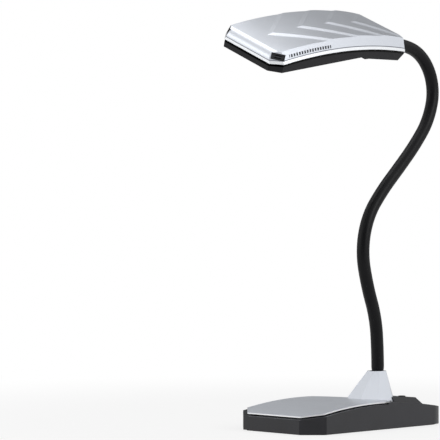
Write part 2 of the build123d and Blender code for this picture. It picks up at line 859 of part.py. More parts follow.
with BuildPart() as corner_vents:
    for side in (1, -1):
        add(vent_pocket(side, seam_gap / 2, vent_depth) & cover_solid)
        with BuildSketch(corner_plane(side)):
            with Locations((0, vent_rise + vent_slot), (0, vent_rise - vent_slot)):
                Rectangle(vent_width - 2 * vent_slot, vent_slot)
        extrude(amount=-vent_depth, mode=Mode.SUBTRACT)
save(corner_vents, "corner_vents", head_place)

strip = grille_band(seam_gap / 2)
with BuildPart() as side_grilles:
    add(strip & tooth_floor)
    with BuildSketch(Plane.XY):
        pitch = grille_length / grille_teeth
        for n in range(grille_teeth):
            with Locations((0, grille_start + (n + 0.5) * pitch - head_length)):
                Rectangle(4 * head_half, pitch / 2)
    add(extrude(amount=2 * mid_height, mode=Mode.PRIVATE) & strip & cover_solid)
save(side_grilles, "side_grilles", head_place)

# ================= Head housing =================

panel_slope = (front_depth - panel_end_depth) / (head_length - panel_end)
slot_half = arm_width / 2 + tilt_washer_thickness + fit
pivot = (-pivot_inset, -arm_drop)
light_plane = Plane(
    origin=(0, -head_length, -front_depth), x_dir=(1, 0, 0), z_dir=Vector(0, -panel_slope, 1).normalized()
)
light_middle = (0, panel_start + panel_length / 2)


def deck_at(y):
    """Height of the housing's rear underside at a place y along the head."""
    rise = rear_depth - panel_end_depth - deck_step
    return -rear_depth + rise * (-undercut - y) / (panel_end - undercut)


def housing_block(inset, lift):
    """The housing's body, its plan drawn smaller by inset and its underside moved up by lift."""
    with BuildPart() as block:
        with BuildSketch(Plane.YZ):
            low = [
                (-head_length, -front_depth), (-panel_end, -panel_end_depth),
                (-panel_end, -panel_end_depth - deck_step), (-undercut, -rear_depth), (0, -undercut_depth),
            ]
            Polygon(*[(y, z + lift) for y, z in low], (0, mid_height), (-head_length, mid_height), align=None)
        extrude(amount=head_half, both=True)
        with BuildSketch(Plane.XY.offset(-2 * rear_depth)):
            head_outline(inset)
        extrude(amount=4 * rear_depth, mode=Mode.INTERSECT)
    return block.part


housing_solid = housing_block(housing_inset, 0)
housing_core = housing_block(housing_inset + housing_wall, housing_floor)

with BuildPart() as head_housing:
    add(housing_solid & edge_slab)
    add(housing_core, mode=Mode.SUBTRACT)
    # knuckle block and the roof over its slot
    with BuildSketch(Plane.YZ):
        Polygon(
            (-undercut / 4, -undercut_depth * 2), (-knuckle_bottom[1], -knuckle_depth),
            (-knuckle_bottom[0], -knuckle_depth), (-knuckle_front, -panel_end_depth - deck_step), align=None,
        )
    extrude(amount=knuckle_half, both=True)
    with BuildSketch(Plane.XY.offset(-rear_depth)):
        with Locations((0, -housing_inset)):
            Rectangle(
                2 * (slot_half + housing_floor), slot_front + housing_floor, align=(Align.CENTER, Align.MAX)
            )
    cap = extrude(amount=rear_depth - slot_roof + housing_floor, mode=Mode.PRIVATE)
    add(cap & housing_solid & edge_slab)
    with BuildSketch(Plane.XY.offset(-2 * knuckle_depth)):
        with Locations((0, undercut)):
            Rectangle(2 * slot_half, slot_front + undercut, align=(Align.CENTER, Align.MAX))
    extrude(amount=2 * knuckle_depth - slot_roof, mode=Mode.SUBTRACT)
    with BuildSketch(Plane.YZ):
        with Locations(pivot):
            Circle(pivot_radius + fit)
    extrude(amount=head_half, both=True, mode=Mode.SUBTRACT)
    # posts for the cover's screws
    with BuildSketch(Plane.XY.offset(-rear_depth)):
        with Locations(*screw_places):
            Circle(head_post_radius)
    posts = extrude(amount=rear_depth + mid_height, mode=Mode.PRIVATE)
    add(posts & housing_solid & under_edge(head_post_level))
    with BuildSketch(Plane.XY.offset(-2 * rear_depth)):
        with Locations(*screw_places):
            Circle(head_screw_radius + fit)
    extrude(amount=2 * rear_depth + mid_height, mode=Mode.SUBTRACT)
    for x, y in screw_places:
        with BuildSketch(Plane.XY.offset(deck_at(y) + head_screw_seat)):
            with Locations((x, y)):
                Circle(head_screw_head + fit)
        extrude(amount=-rear_depth, mode=Mode.SUBTRACT)
    # window for the light panel
    with BuildSketch(light_plane):
        with Locations(light_middle):
            Rectangle(panel_width + 2 * seam_gap, panel_length + 2 * seam_gap)
    extrude(amount=housing_floor, both=True, mode=Mode.SUBTRACT)
save(head_housing, "head_housing", head_place)

with BuildPart() as head_screws:
    for x, y in screw_places:
        seat = deck_at(y) + head_screw_seat
        with BuildSketch(Plane.XY.offset(seat - head_screw_head_height)):
            with Locations((x, y)):
                Circle(head_screw_head)
        extrude(amount=head_screw_head_height)
        with BuildSketch(Plane.XY.offset(seat)):
            with Locations((x, y)):
                Circle(head_screw_radius - 2 * fit)
        extrude(amount=head_screw_length)
save(head_screws, "head_screws", head_place)

# ================= Light unit =================

seat_level = housing_floor / sqrt(1 + panel_slope**2)
frame_level = seat_level + panel_flange_thickness
board_level = frame_level + frame_height
spreader_level = board_level + led_board_thickness
spreader_top = spreader_level + spreader_thickness
flanged_width = panel_width + 2 * panel_flange
flanged_length = panel_length + 2 * panel_flange
light_screw_places = [
    (side * (flanged_width - frame_wall) / 2, light_middle[1] + end * (flanged_length - frame_wall) / 2)
    for side in (-1, 1) for end in (-1, 0, 1)
]

with BuildPart() as light_panel:
    with BuildSketch(light_plane):
        with Locations(light_middle):
            RectangleRounded(panel_width, panel_length, 1.5)
    extrude(amount=frame_level)
    with BuildSketch(light_plane.offset(seat_level)):
        with Locations(light_middle):
            Rectangle(flanged_width, flanged_length)
    extrude(amount=panel_flange_thickness)
save(light_panel, "light_panel", head_place)

with BuildPart() as light_frame:
    with BuildSketch(light_plane.offset(frame_level)):
        with Locations(light_middle):
            Rectangle(flanged_width, flanged_length)
            Rectangle(flanged_width - 2 * frame_wall, flanged_length - 2 * frame_wall, mode=Mode.SUBTRACT)
        with Locations(*light_screw_places):
            Circle(light_screw_radius + fit, mode=Mode.SUBTRACT)
    extrude(amount=frame_height)
save(light_frame, "light_frame", head_place)

with BuildPart() as led_chips:
    with BuildSketch(light_plane.offset(board_level)):
        with Locations(light_middle):
            with GridLocations(panel_width / (led_columns + 1), panel_length / (led_rows + 1), led_columns, led_rows):
                Rectangle(led_size, led_size)
    extrude(amount=-led_height)
save(led_chips, "led_chips", head_place)

with BuildPart() as led_board:
    with BuildSketch(light_plane.offset(board_level)):
        with Locations(light_middle):
            Rectangle(flanged_width, flanged_length)
        with Locations(*light_screw_places):
            Circle(light_screw_radius + fit, mode=Mode.SUBTRACT)
    extrude(amount=led_board_thickness)
save(led_board, "led_board", head_place)

with BuildPart() as heat_spreader:
    with BuildSketch(light_plane.offset(spreader_level)):
        with Locations(light_middle):
            Rectangle(flanged_width, flanged_length)
    extrude(amount=spreader_thickness)
    with BuildSketch(light_plane.offset(spreader_top)):
        with Locations(light_middle):
            with GridLocations(panel_width / (rib_count + 1), 0, rib_count, 1):
                Rectangle(rib_width, panel_length - 2 * frame_wall)
    extrude(amount=rib_height)
    with BuildSketch(light_plane.offset(spreader_level)):
        with Locations(*light_screw_places):
            Circle(light_screw_radius + fit)
    extrude(amount=spreader_thickness, mode=Mode.SUBTRACT)
save(heat_spreader, "heat_spreader", head_place)

with BuildPart() as light_screws:
    with BuildSketch(light_plane.offset(spreader_top)):
        with Locations(*light_screw_places):
            Circle(light_screw_head)
    extrude(amount=light_screw_head_height)
    with BuildSketch(light_plane.offset(spreader_top)):
        with Locations(*light_screw_places):
            Circle(light_screw_radius)
    extrude(amount=frame_level + seam_gap - spreader_top)
save(light_screws, "light_screws", head_place)

# ================= Swivel and tilt knuckle =================

cuff_mouth = head_reach + cuff_lip
cuff_front = cuff_mouth - cuff_length
arm_rear = cuff_front - swivel_washer_thickness
clip_rear = cuff_front - spindle_length + 2 * clip_thickness + 2 * fit
arm_line = Plane(origin=(0, 0, -arm_drop), x_dir=(1, 0, 0), z_dir=(0, 1, 0))

with BuildPart() as neck_cuff:
    with BuildSketch(arm_line.offset(cuff_front)):
        Circle(cuff_radius)
    extrude(amount=cuff_length)
    chamfer(neck_cuff.edges(), cuff_lip / 2)
    with BuildSketch(arm_line.offset(cuff_mouth)):
        Circle(sleeve_radius + sleeve_play)
    extrude(amount=-cuff_lip - sleeve_entry - seam_gap, mode=Mode.SUBTRACT)
    with BuildSketch(arm_line.offset(cuff_mouth)):
        Circle(core_radius + fit)
    extrude(amount=-cuff_lip - cuff_grip, mode=Mode.SUBTRACT)
    with BuildSketch(arm_line.offset(cuff_front)):
        Circle(spindle_radius)
    extrude(amount=-spindle_length)
    with BuildSketch(arm_line.offset(clip_rear + fit)):
        Circle(spindle_radius)
        Circle(spindle_radius - clip_groove, mode=Mode.SUBTRACT)
    extrude(amount=-clip_thickness - 2 * fit, mode=Mode.SUBTRACT)
save(neck_cuff, "neck_cuff", head_place)

with BuildPart() as swivel_washer:
    with BuildSketch(arm_line.offset(arm_rear)):
        Circle(swivel_washer_radius)
        Circle(spindle_radius + fit, mode=Mode.SUBTRACT)
    extrude(amount=swivel_washer_thickness)
save(swivel_washer, "swivel_washer", head_place)

with BuildPart() as swivel_clip:
    with BuildSketch(arm_line.offset(clip_rear)):
        Circle(clip_radius)
        Circle(spindle_radius - clip_groove + fit, mode=Mode.SUBTRACT)
        with Locations((0, -clip_radius)):
            Rectangle(spindle_radius, 2 * clip_radius, mode=Mode.SUBTRACT)
    extrude(amount=-clip_thickness)
save(swivel_clip, "swivel_clip", head_place)

with BuildPart() as knuckle_arm:
    with BuildSketch(Plane.YZ):
        with Locations(pivot):
            Circle(eye_radius)
        upper = [
            (-pivot_inset, eye_radius), (eye_radius - pivot_inset, arm_waist_height / 2),
            (0, arm_waist_height / 2), (arm_rear, arm_rear_height / 2),
        ]
        lower = [(y, -z) for y, z in reversed(upper)]
        Polygon(*[(y, z - arm_drop) for y, z in upper + lower], align=None)
    extrude(amount=arm_width / 2, both=True)
    with BuildSketch(arm_line.offset(arm_rear)):
        Circle(spindle_radius + fit)
    extrude(amount=clip_rear - arm_rear, mode=Mode.SUBTRACT)
    with BuildSketch(Plane.XY.offset(-2 * arm_drop)):
        with Locations((0, clip_rear + fit)):
            Rectangle(2 * (clip_radius + 6 * fit), clip_window, align=(Align.CENTER, Align.MAX))
    extrude(amount=2 * arm_drop, mode=Mode.SUBTRACT)
    with BuildSketch(Plane.YZ):
        with Locations(pivot):
            Circle(pivot_radius + fit)
    extrude(amount=arm_width, both=True, mode=Mode.SUBTRACT)
save(knuckle_arm, "knuckle_arm", head_place)

with BuildPart() as tilt_washers:
    for side in (1, -1):
        with BuildSketch(Plane.YZ.offset(side * arm_width / 2)):
            with Locations(pivot):
                Circle(eye_radius - tilt_washer_thickness)
                Circle(pivot_radius + fit, mode=Mode.SUBTRACT)
        extrude(amount=side * tilt_washer_thickness)
save(tilt_washers, "tilt_washers", head_place)

with BuildPart() as pivot_bolt:
    with BuildSketch(Plane.YZ.offset(knuckle_half)):
        with Locations(pivot):
            Circle(bolt_head_radius)
    extrude(amount=bolt_head)
    chamfer(pivot_bolt.faces().sort_by(Axis.X)[-1].edges(), bolt_head / 4)
    with BuildSketch(Plane.YZ.offset(knuckle_half + bolt_head)):
        with Locations(pivot):
            RegularPolygon(pivot_radius - fit, 6)
    extrude(amount=-bolt_head / 2, mode=Mode.SUBTRACT)
    with BuildSketch(Plane.YZ.offset(knuckle_half)):
        with Locations(pivot):
            Circle(pivot_radius)
    extrude(amount=-2 * knuckle_half - nut_washer - bolt_head)
save(pivot_bolt, "pivot_bolt", head_place)

with BuildPart() as pivot_nut:
    with BuildSketch(Plane.YZ.offset(-knuckle_half)):
        with Locations(pivot):
            RegularPolygon(bolt_head_radius, 6)
            Circle(pivot_radius + fit, mode=Mode.SUBTRACT)
    extrude(amount=-bolt_head)
save(pivot_nut, "pivot_nut", head_place)
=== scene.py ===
# %% Load the frame
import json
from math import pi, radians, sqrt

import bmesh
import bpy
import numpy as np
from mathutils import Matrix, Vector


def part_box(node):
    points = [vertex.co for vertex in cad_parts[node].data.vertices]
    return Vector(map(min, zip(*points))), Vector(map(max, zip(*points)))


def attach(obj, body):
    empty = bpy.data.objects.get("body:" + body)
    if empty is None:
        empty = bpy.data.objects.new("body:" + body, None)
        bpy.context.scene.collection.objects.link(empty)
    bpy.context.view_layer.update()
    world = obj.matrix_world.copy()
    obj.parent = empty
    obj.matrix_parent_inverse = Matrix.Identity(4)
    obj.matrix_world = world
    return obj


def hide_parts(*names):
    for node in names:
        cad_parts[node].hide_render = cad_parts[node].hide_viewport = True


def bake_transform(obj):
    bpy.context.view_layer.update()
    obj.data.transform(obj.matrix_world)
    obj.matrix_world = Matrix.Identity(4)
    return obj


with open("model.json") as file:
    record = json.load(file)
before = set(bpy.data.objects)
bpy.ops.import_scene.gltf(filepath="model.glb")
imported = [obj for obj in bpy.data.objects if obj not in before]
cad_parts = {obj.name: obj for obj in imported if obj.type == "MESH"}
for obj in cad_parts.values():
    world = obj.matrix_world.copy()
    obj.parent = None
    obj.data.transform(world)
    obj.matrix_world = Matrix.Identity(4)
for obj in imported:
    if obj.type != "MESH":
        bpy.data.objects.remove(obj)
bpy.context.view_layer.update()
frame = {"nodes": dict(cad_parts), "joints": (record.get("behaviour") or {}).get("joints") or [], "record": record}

# %% [markdown]
# # A piano lamp with an arched base, a bendable neck and a long light head
# The lamp's working parts come from its construction model: casings, neck links, screws and light unit, all in
# metres and already in place. This lesson dresses them. It sets a camera and a small photo studio, writes the
# finishes as node materials, and then makes the surfaces that an eye rests on: the rubber sleeve of the neck, the
# stepped silver cover of the head and the lens plate under it.

MM = 0.001
joints = {joint["name"]: joint for joint in frame["joints"]}
slot_of = {part["node"]: part["material_slot"] for part in frame["record"]["subparts"]}


def unit(vector):
    """The vector divided by its length."""
    vector = np.asarray(vector, float)
    return vector / np.linalg.norm(vector)


# %% [markdown]
# ## Camera
# The lamp is seen from its front right corner, almost level with the middle of the neck and from more than two
# metres away. From so far the base and the head keep nearly parallel edges, as a catalogue picture shows them. A
# long lens does the same: its focal length over the sensor width is the image's focal length over its width.

# %% Camera
FRAME_SIZE = 440
FOCAL_PIXELS = 2000.0
camera_data = bpy.data.cameras.new("camera")
camera_data.sensor_width = 36.0
camera_data.lens = FOCAL_PIXELS / FRAME_SIZE * camera_data.sensor_width
camera_data.clip_end = 50.0
camera = bpy.data.objects.new("camera", camera_data)
camera.location = (1.4376, -1.6745, 0.190)
camera.rotation_euler = (radians(90 + 0.86), 0.0, radians(45.15))
bpy.context.collection.objects.link(camera)
bpy.context.scene.camera = camera
bpy.context.scene.view_settings.view_transform = "Standard"
print("lens", round(camera_data.lens, 1), "mm")

# %% [markdown]
# ## Writing materials as expressions
# Node graphs read best as sums. A wire is one output of a node. Adding or multiplying wires adds the Math nodes
# that the sum needs, so a mask such as `1 - dots * 0.4` is written as it is thought. Every other node comes from
# one method, which takes the node's type, its settings and its inputs, in that order.


# %% Wires, graphs and looks
class Wire:
    """One output of a node. Arithmetic on it adds Math nodes to its graph."""

    def __init__(self, graph, socket):
        self.graph, self.socket = graph, socket

    def math(self, operation, *others):
        return self.graph.node("ShaderNodeMath", {"operation": operation}, dict(enumerate(others)))

    def __add__(self, other):
        return self.math("ADD", self, other)

    def __sub__(self, other):
        return self.math("SUBTRACT", self, other)

    def __mul__(self, other):
        return self.math("MULTIPLY", self, other)

    def __truediv__(self, other):
        return self.math("DIVIDE", self, other)

    def __rsub__(self, other):
        return self.math("SUBTRACT", other, self)

    def __rtruediv__(self, other):
        return self.math("DIVIDE", other, self)

    __radd__ = __add__
    __rmul__ = __mul__

    def most(self, other):
        """The larger of two wires."""
        return self.math("MAXIMUM", self, other)

    def root(self):
        """The square root of a wire."""
        return self.math("SQRT", self)

    def step(self, low, high):
        """0 below low, 1 above high, and smooth between them."""
        settings = {"interpolation_type": "SMOOTHSTEP"}
        return self.graph.node("ShaderNodeMapRange", settings, {"Value": self, "From Min": low, "From Max": high})


class Graph:
    """A node tree written through wires. Its place is where a texture is read."""

    def __init__(self, tree, coordinates):
        self.tree = tree
        self.place = self.node("ShaderNodeTexCoord", {}, {}, coordinates)

    def feed(self, socket, value):
        """Link a wire to a socket, or set the socket's own value."""
        if isinstance(value, Wire):
            self.tree.links.new(value.socket, socket)
        elif socket.type == "RGBA" and len(value) == 3:
            socket.default_value = (*value, 1.0)
        else:
            socket.default_value = value

    def node(self, kind, settings, inputs, output=0):
        """Add a node of a kind, with its settings first and then its inputs, and give one output."""
        made = self.tree.nodes.new(kind)
        for key, value in settings.items():
            setattr(made, key, value)
        for key, value in inputs.items():
            self.feed(made.inputs[key], value)
        return Wire(self, made.outputs[output])

    def along(self, axis, origin=(0.0, 0.0, 0.0)):
        """How far the place lies from an origin along an axis."""
        from_origin = self.node("ShaderNodeVectorMath", {"operation": "SUBTRACT"}, {0: self.place, 1: tuple(origin)})
        inputs = {0: from_origin, 1: tuple(axis)}
        return self.node("ShaderNodeVectorMath", {"operation": "DOT_PRODUCT"}, inputs, "Value")

    def ray(self, kind):
        """1 where the light path at hand is of a kind, such as Is Camera Ray, and otherwise 0."""
        return self.node("ShaderNodeLightPath", {}, {}, kind)

    def noise(self, scale, detail=3.0, roughness=0.5, place=None):
        """Cloudy values from 0 to 1 with about scale cells to the metre."""
        inputs = {"Vector": place or self.place, "Scale": scale, "Detail": detail, "Roughness": roughness}
        return self.node("ShaderNodeTexNoise", {}, inputs, "Fac")

    def stretched(self, x, y, z):
        """Object coordinates scaled along each axis, for grain that runs one way."""
        return self.node("ShaderNodeMapping", {"vector_type": "POINT"}, {"Vector": self.place, "Scale": (x, y, z)})

    def blend(self, mask, first, second):
        """A colour that goes from first to second as the mask goes from 0 to 1."""
        made = self.tree.nodes.new("ShaderNodeMix")
        made.data_type = "RGBA"
        colours = [socket for socket in made.inputs if socket.type == "RGBA"]
        for socket, value in ((made.inputs[0], mask), (colours[0], first), (colours[1], second)):
            self.feed(socket, value)
        return Wire(self, next(socket for socket in made.outputs if socket.type == "RGBA"))


class Look(Graph):
    """A material with one Principled shader."""

    def __init__(self, name, **constants):
        self.material = bpy.data.materials.new(name)
        self.material.use_nodes = True
        super().__init__(self.material.node_tree, "Object")
        self.shader = next(n for n in self.tree.nodes if n.type == "BSDF_PRINCIPLED")
        self.paint(**constants)

    def relief(self, height, depth):
        """Feed the shader's normal with bumps: height is from 0 to 1 and depth is in metres."""
        bump = self.node("ShaderNodeBump", {}, {"Height": height, "Distance": depth, "Strength": 1.0})
        self.feed(self.shader.inputs["Normal"], bump)

    def paint(self, **inputs):
        """Feed the shader's sockets, named with underscores for spaces."""
        for key, value in inputs.items():
            self.feed(self.shader.inputs[key.replace("_", " ")], value)


looks = {}

# %% [markdown]
# ## The head's own axes
# The head hangs tilted on the neck, so a line that runs level round it is slanted in the world. Its own axes come
# from its joints: the swivel's axis points to its rear, the tilt's axis points to its left, and the third stands on
# both. The origin is the middle of the cover's rear lower edge, and lengths in these axes are in millimetres.

# %% Head axes
swivel, tilt = joints["head_swivel"], joints["head_tilt"]
to_rear, to_right = unit(swivel["axis"]), -unit(tilt["axis"])
head_axes = np.stack([to_right, to_rear, np.cross(to_right, to_rear)])


def points_of(node):
    """The corner points of a construction piece, in metres."""
    mesh = frame["nodes"][node].data
    points = np.empty(len(mesh.vertices) * 3)
    mesh.vertices.foreach_get("co", points)
    return points.reshape(-1, 3)


turned = points_of("head_cover") @ head_axes.T
low, high = turned.min(axis=0), turned.max(axis=0)
head_origin = np.array([(low[0] + high[0]) / 2, high[1], low[2]])


def to_head(points):
    """From metres in the world to millimetres in the head's axes."""
    return (points @ head_axes.T - head_origin) / MM


def from_head(points):
    """From millimetres in the head's axes to metres in the world."""
    return (np.asarray(points) * MM + head_origin) @ head_axes


HEAD_LENGTH, HEAD_HALF = (high[1] - low[1]) / MM, (high[0] - low[0]) / MM / 2
cover_points = to_head(points_of("head_cover"))
EDGE_ARCH = cover_points[np.abs(cover_points[:, 1] / HEAD_LENGTH + 0.5) < 0.1, 2].min()
print("head", round(HEAD_LENGTH), "by", round(2 * HEAD_HALF), "mm, its lower edge rises", round(EDGE_ARCH, 1), "mm")

# %% [markdown]
# ## Finishes
# The silver parts are moulded plastic under a metallic paint. Such paint is a clear coat over fine flakes, so it
# shines softly, with a grain that only shows close to. The base's cover has a coarser, duller grain than the rest.
# The black parts are the same plastic unpainted, with the dull texture that a spark-eroded mould leaves. A finish
# is never one number: each gets a slow cloud in its roughness and a fine grain in its normal.

# %% Silver paint
FLAKE_DARK = np.array((0.62, 0.65, 0.71))
FLAKE_LIGHT = np.array((0.74, 0.77, 0.82))


def silver(name, shade=1.0, grain=9000.0, depth=0.00003, roughness=0.33, metallic=0.75):
    """Metallic paint: flakes in the colour and the normal, and a slow cloud in the roughness."""
    look = Look(name, Metallic=metallic, IOR=1.5, Coat_Roughness=0.15)
    flakes = look.noise(grain, detail=2.0)
    colour = look.blend(flakes.step(0.35, 0.7), shade * FLAKE_DARK, shade * FLAKE_LIGHT)
    look.paint(Base_Color=colour, Roughness=roughness + look.noise(35.0) * 0.08, Coat_Weight=0.25)
    look.relief(flakes, depth)
    looks[name] = look
    return look, colour


silver("silver_plastic")
print("silver flakes from", FLAKE_DARK, "to", FLAKE_LIGHT)

# %% [markdown]
# A painted highlight runs round the lower edge of the head's cover as a pale lip, with a fine line of painted shade
# above it as a groove. The lower edge is an arch, so the mask takes a point's height above that arch: 1 minus the
# square of how far along the head it lies.


# %% Painted lip highlight and groove shade
GROOVE_FOOT = (2.7, 3.0)
GROOVE_HEAD = (3.5, 3.8)
# The lip's pale colour is a painted highlight, and the groove's dark colour is painted shade.
LIP_HIGHLIGHT = (0.88, 0.90, 0.93)
GROOVE_SHADE = (0.16, 0.17, 0.20)


def above_edge(look):
    """Height over the cover's lower edge in millimetres, along the head's own vertical."""
    origin = from_head((0.0, 0.0, 0.0))
    along = look.along(head_axes[1], origin) * (2 / (HEAD_LENGTH * MM)) + 1.0
    height = look.along(head_axes[2], origin) / MM
    return height - (1.0 - along * along) * EDGE_ARCH


painted_lip_look, flake_colour = silver("silver_painted_lip_and_groove")
over = above_edge(painted_lip_look)
above_lip = over.step(*GROOVE_FOOT)
# Painted highlight: the band under the groove is pale.
with_lip_highlight = painted_lip_look.blend(above_lip, LIP_HIGHLIGHT, flake_colour)
# Painted shade: the groove line is dark.
in_groove_shade = above_lip - over.step(*GROOVE_HEAD)
painted_lip_look.paint(Base_Color=painted_lip_look.blend(in_groove_shade, with_lip_highlight, GROOVE_SHADE))
print("groove from", GROOVE_FOOT[0], "to", GROOVE_HEAD[1], "mm above the lower edge")

# %% [markdown]
# Black plastic looks black only because almost nothing comes back from inside it. What the eye reads as its shape
# is the sheen of its surface, so the colour goes nearly to zero and the roughness does the work.


# %% Black and coloured plastics
def moulded(name, dark, light, roughness, grain=3500.0, depth=0.00005, **constants):
    """A moulded plastic or rubber: two near colours in a cloud, and a fine grain in its normal."""
    look = Look(name, **constants)
    haze, texture = look.noise(28.0), look.noise(grain, detail=4.0)
    look.paint(Base_Color=look.blend(haze.step(0.3, 0.7), dark, light), Roughness=roughness + (haze - 0.5) * 0.12)
    look.relief(texture, depth)
    looks[name] = look
    return look


moulded("black_plastic", (0.008, 0.008, 0.011), (0.013, 0.013, 0.018), 0.40, depth=0.00008, Specular_IOR_Level=0.46)
moulded("button_black", (0.010, 0.010, 0.012), (0.016, 0.016, 0.019), 0.28, grain=900.0, depth=0.00001)
moulded("sleeve_rubber", (0.004, 0.004, 0.005), (0.007, 0.007, 0.008), 0.38, grain=2200.0, Specular_IOR_Level=0.14)
moulded("pad_rubber", (0.030, 0.030, 0.030), (0.050, 0.050, 0.050), 0.80, grain=1500.0, depth=0.0002)
moulded("vent_grey", (0.010, 0.011, 0.014), (0.018, 0.019, 0.023), 0.40)
moulded("lens_white", (0.84, 0.87, 0.86), (0.90, 0.92, 0.91), 0.25, grain=700.0, depth=0.00001)
moulded("led_phosphor", (0.80, 0.66, 0.20), (0.90, 0.78, 0.32), 0.40, grain=6000.0)
moulded("white_board", (0.80, 0.82, 0.81), (0.88, 0.89, 0.88), 0.35, grain=1200.0)
moulded("green_board", (0.02, 0.13, 0.06), (0.03, 0.19, 0.09), 0.35, grain=1200.0)

# %% [markdown]
# ## Metals
# The links of the neck are turned aluminium, the screws and the nut are zinc plated steel, and the plate under
# the base is powder coated. Turned and rolled metal has fine lines one way, which a noise stretched along one
# axis gives. Powder coat is an orange peel, which is a plain noise of about one cell to the millimetre.


# %% Metals
def metal(name, colour, roughness, lines=(60.0, 60.0, 4000.0), depth=0.00002):
    """Bare metal with fine lines across the axis that has the largest of the three scales."""
    look = Look(name, Metallic=1.0)
    streaks = look.noise(1.0, detail=4.0, place=look.stretched(*lines))
    stain = look.noise(60.0)
    darker = tuple(0.8 * c for c in colour)
    look.paint(Base_Color=look.blend(stain.step(0.35, 0.75), colour, darker), Roughness=roughness + streaks * 0.15)
    look.relief(streaks, depth)
    looks[name] = look


metal("link_metal", (0.62, 0.63, 0.65), 0.28)
metal("zinc_steel", (0.58, 0.58, 0.55), 0.25, lines=(900.0, 900.0, 900.0))
metal("spreader_aluminium", (0.74, 0.75, 0.77), 0.30, lines=(3000.0, 60.0, 60.0))
metal("ballast_iron", (0.14, 0.14, 0.145), 0.60, lines=(700.0, 700.0, 700.0), depth=0.0003)
moulded("black_steel", (0.030, 0.030, 0.034), (0.042, 0.042, 0.047), 0.38, grain=1100.0, depth=0.0001, Metallic=0.2)

for node, piece in frame["nodes"].items():
    for material_slot in piece.material_slots:
        material_slot.material = looks[slot_of[node]].material
print(len(looks), "finishes on", len(frame["nodes"]), "pieces")

# %% [markdown]
# ## From formula to mesh
# Every new piece is made of grids of points worked out by a formula, with a grid's rows and columns as its two
# parameters. Grids that share an edge share its points, so merging the doubled points sews them together. Where a
# row shrinks to one point, as at the middle of a cap, the same merging closes the pole.


# %% Grids to mesh
SEWING = 0.002
SMOOTH_TURN = 11.0


def skin(name, patches, slot, look=None, close_columns=False):
    """Mesh from grids of points (rows, columns, 3) in metres: one face between four neighbours, sewn by merging."""
    points, quads, first = [], [], 0
    for patch in patches:
        rows, columns = patch.shape[:2]
        index = first + np.arange(rows * columns).reshape(rows, columns)
        if close_columns:
            index = np.hstack([index, index[:, :1]])
        faces = np.stack([index[:-1, :-1], index[:-1, 1:], index[1:, 1:], index[1:, :-1]], axis=-1)
        points.append(patch.reshape(-1, 3))
        quads += faces.reshape(-1, 4).tolist()
        first += rows * columns
    mesh = bpy.data.meshes.new(name)
    mesh.from_pydata(np.concatenate(points), [], quads)
    sew(mesh)
    piece = bpy.data.objects.new(name, mesh)
    bpy.context.collection.objects.link(piece)
    piece.data.materials.append(looks[look or slot].material)
    return piece


def sew(mesh, flat=0.0):
    """Merge doubled points, drop faces without area, join faces flatter than an angle, and turn all outwards."""
    shape = bmesh.new()
    shape.from_mesh(mesh)
    bmesh.ops.remove_doubles(shape, verts=shape.verts, dist=SEWING * MM)
    bmesh.ops.dissolve_degenerate(shape, dist=SEWING * MM, edges=shape.edges)
    if flat:
        bmesh.ops.dissolve_limit(shape, angle_limit=radians(flat), verts=shape.verts, edges=shape.edges)
    else:
        bmesh.ops.recalc_face_normals(shape, faces=shape.faces)
    shape.to_mesh(mesh)
    shape.free()
    mesh.polygons.foreach_set("use_smooth", np.ones(len(mesh.polygons), bool))
    mesh.set_sharp_from_angle(angle=radians(SMOOTH_TURN))


print("points closer than", SEWING, "mm are merged")

# %% [markdown]
# ## Soft edges for the hard parts
# No moulded or cut edge is truly sharp: it has a small radius, and that thin round is what catches the light. The
# construction model leaves it out. Its meshes are also loose triangles, which a bevel can't work on. So each hard
# part gets a copy: the doubled points are merged, flat runs of triangles become one face, and a bevel then
# rounds what is left of the edges. Only turns above SMOOTH_TURN degrees stay sharp, so arched faces shade smoothly,
# and normals weighted by area keep the large faces level. The simplest two parts come first.


# %% Soft-edged copies
FLAT_TURN = 0.5
BEVEL_TURN = 20.0
BEVEL_SEGMENTS = 2


def round_edges(piece, width):
    """Bevel every edge that turns by more than BEVEL_TURN degrees, and keep the large faces level in the shading."""
    bevel = piece.modifiers.new("soft edges", "BEVEL")
    bevel.width, bevel.segments = width * MM, BEVEL_SEGMENTS
    bevel.limit_method, bevel.angle_limit = "ANGLE", radians(BEVEL_TURN)
    bevel.harden_normals, bevel.use_clamp_overlap = True, True
    weigh = piece.modifiers.new("level faces", "WEIGHTED_NORMAL")
    weigh.keep_sharp = True


def soften(node, body, width, reshape=None, look=None):
    """Stand a bevelled copy of a node in its place. Reshape, if given, turns its points into moved ones."""
    mesh = frame["nodes"][node].data.copy()
    sew(mesh, flat=FLAT_TURN)
    if reshape:
        points = np.empty(len(mesh.vertices) * 3)
        mesh.vertices.foreach_get("co", points)
        mesh.vertices.foreach_set("co", reshape(points.reshape(-1, 3)).ravel())
        mesh.update()
    piece = bpy.data.objects.new(node + "_soft", mesh)
    bpy.context.collection.objects.link(piece)
    mesh.materials.clear()
    mesh.materials.append(looks[look or slot_of[node]].material)
    round_edges(piece, width)
    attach(piece, body)
    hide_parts(node)
    print(piece.name, len(mesh.polygons), "faces")


soften("light_frame", "head", 0.2)
soften("neck_cuff", "neck_end", 0.3)

# %% [markdown]
# ## The base's arch
# Shell and cover share one arch along the base, a circle. Two heights and the distance between them settle its
# radius: the height at the front and the height of the top, both read from the construction plate.

# %% Arch of the base
CROWN_AHEAD = 60.0
AT_EDGE = 0.1
base_low, base_high = (np.array(corner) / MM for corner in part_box("base_shell"))
cover_top_points = points_of("base_cover") / MM
front_height = cover_top_points[cover_top_points[:, 1] < base_low[1] + AT_EDGE, 2].max()
crown_height = cover_top_points[:, 2].max()
crown_reach = -CROWN_AHEAD - base_low[1]
crown_radius = (crown_reach**2 + (crown_height - front_height) ** 2) / (2 * (crown_height - front_height))


def crown_at(y):
    """Height of the arch: a circle whose top is CROWN_AHEAD in front of the neck."""
    return crown_height - crown_radius + np.sqrt(crown_radius**2 - (y + CROWN_AHEAD) ** 2)


print("the base's arch has a radius of", round(crown_radius), "mm")

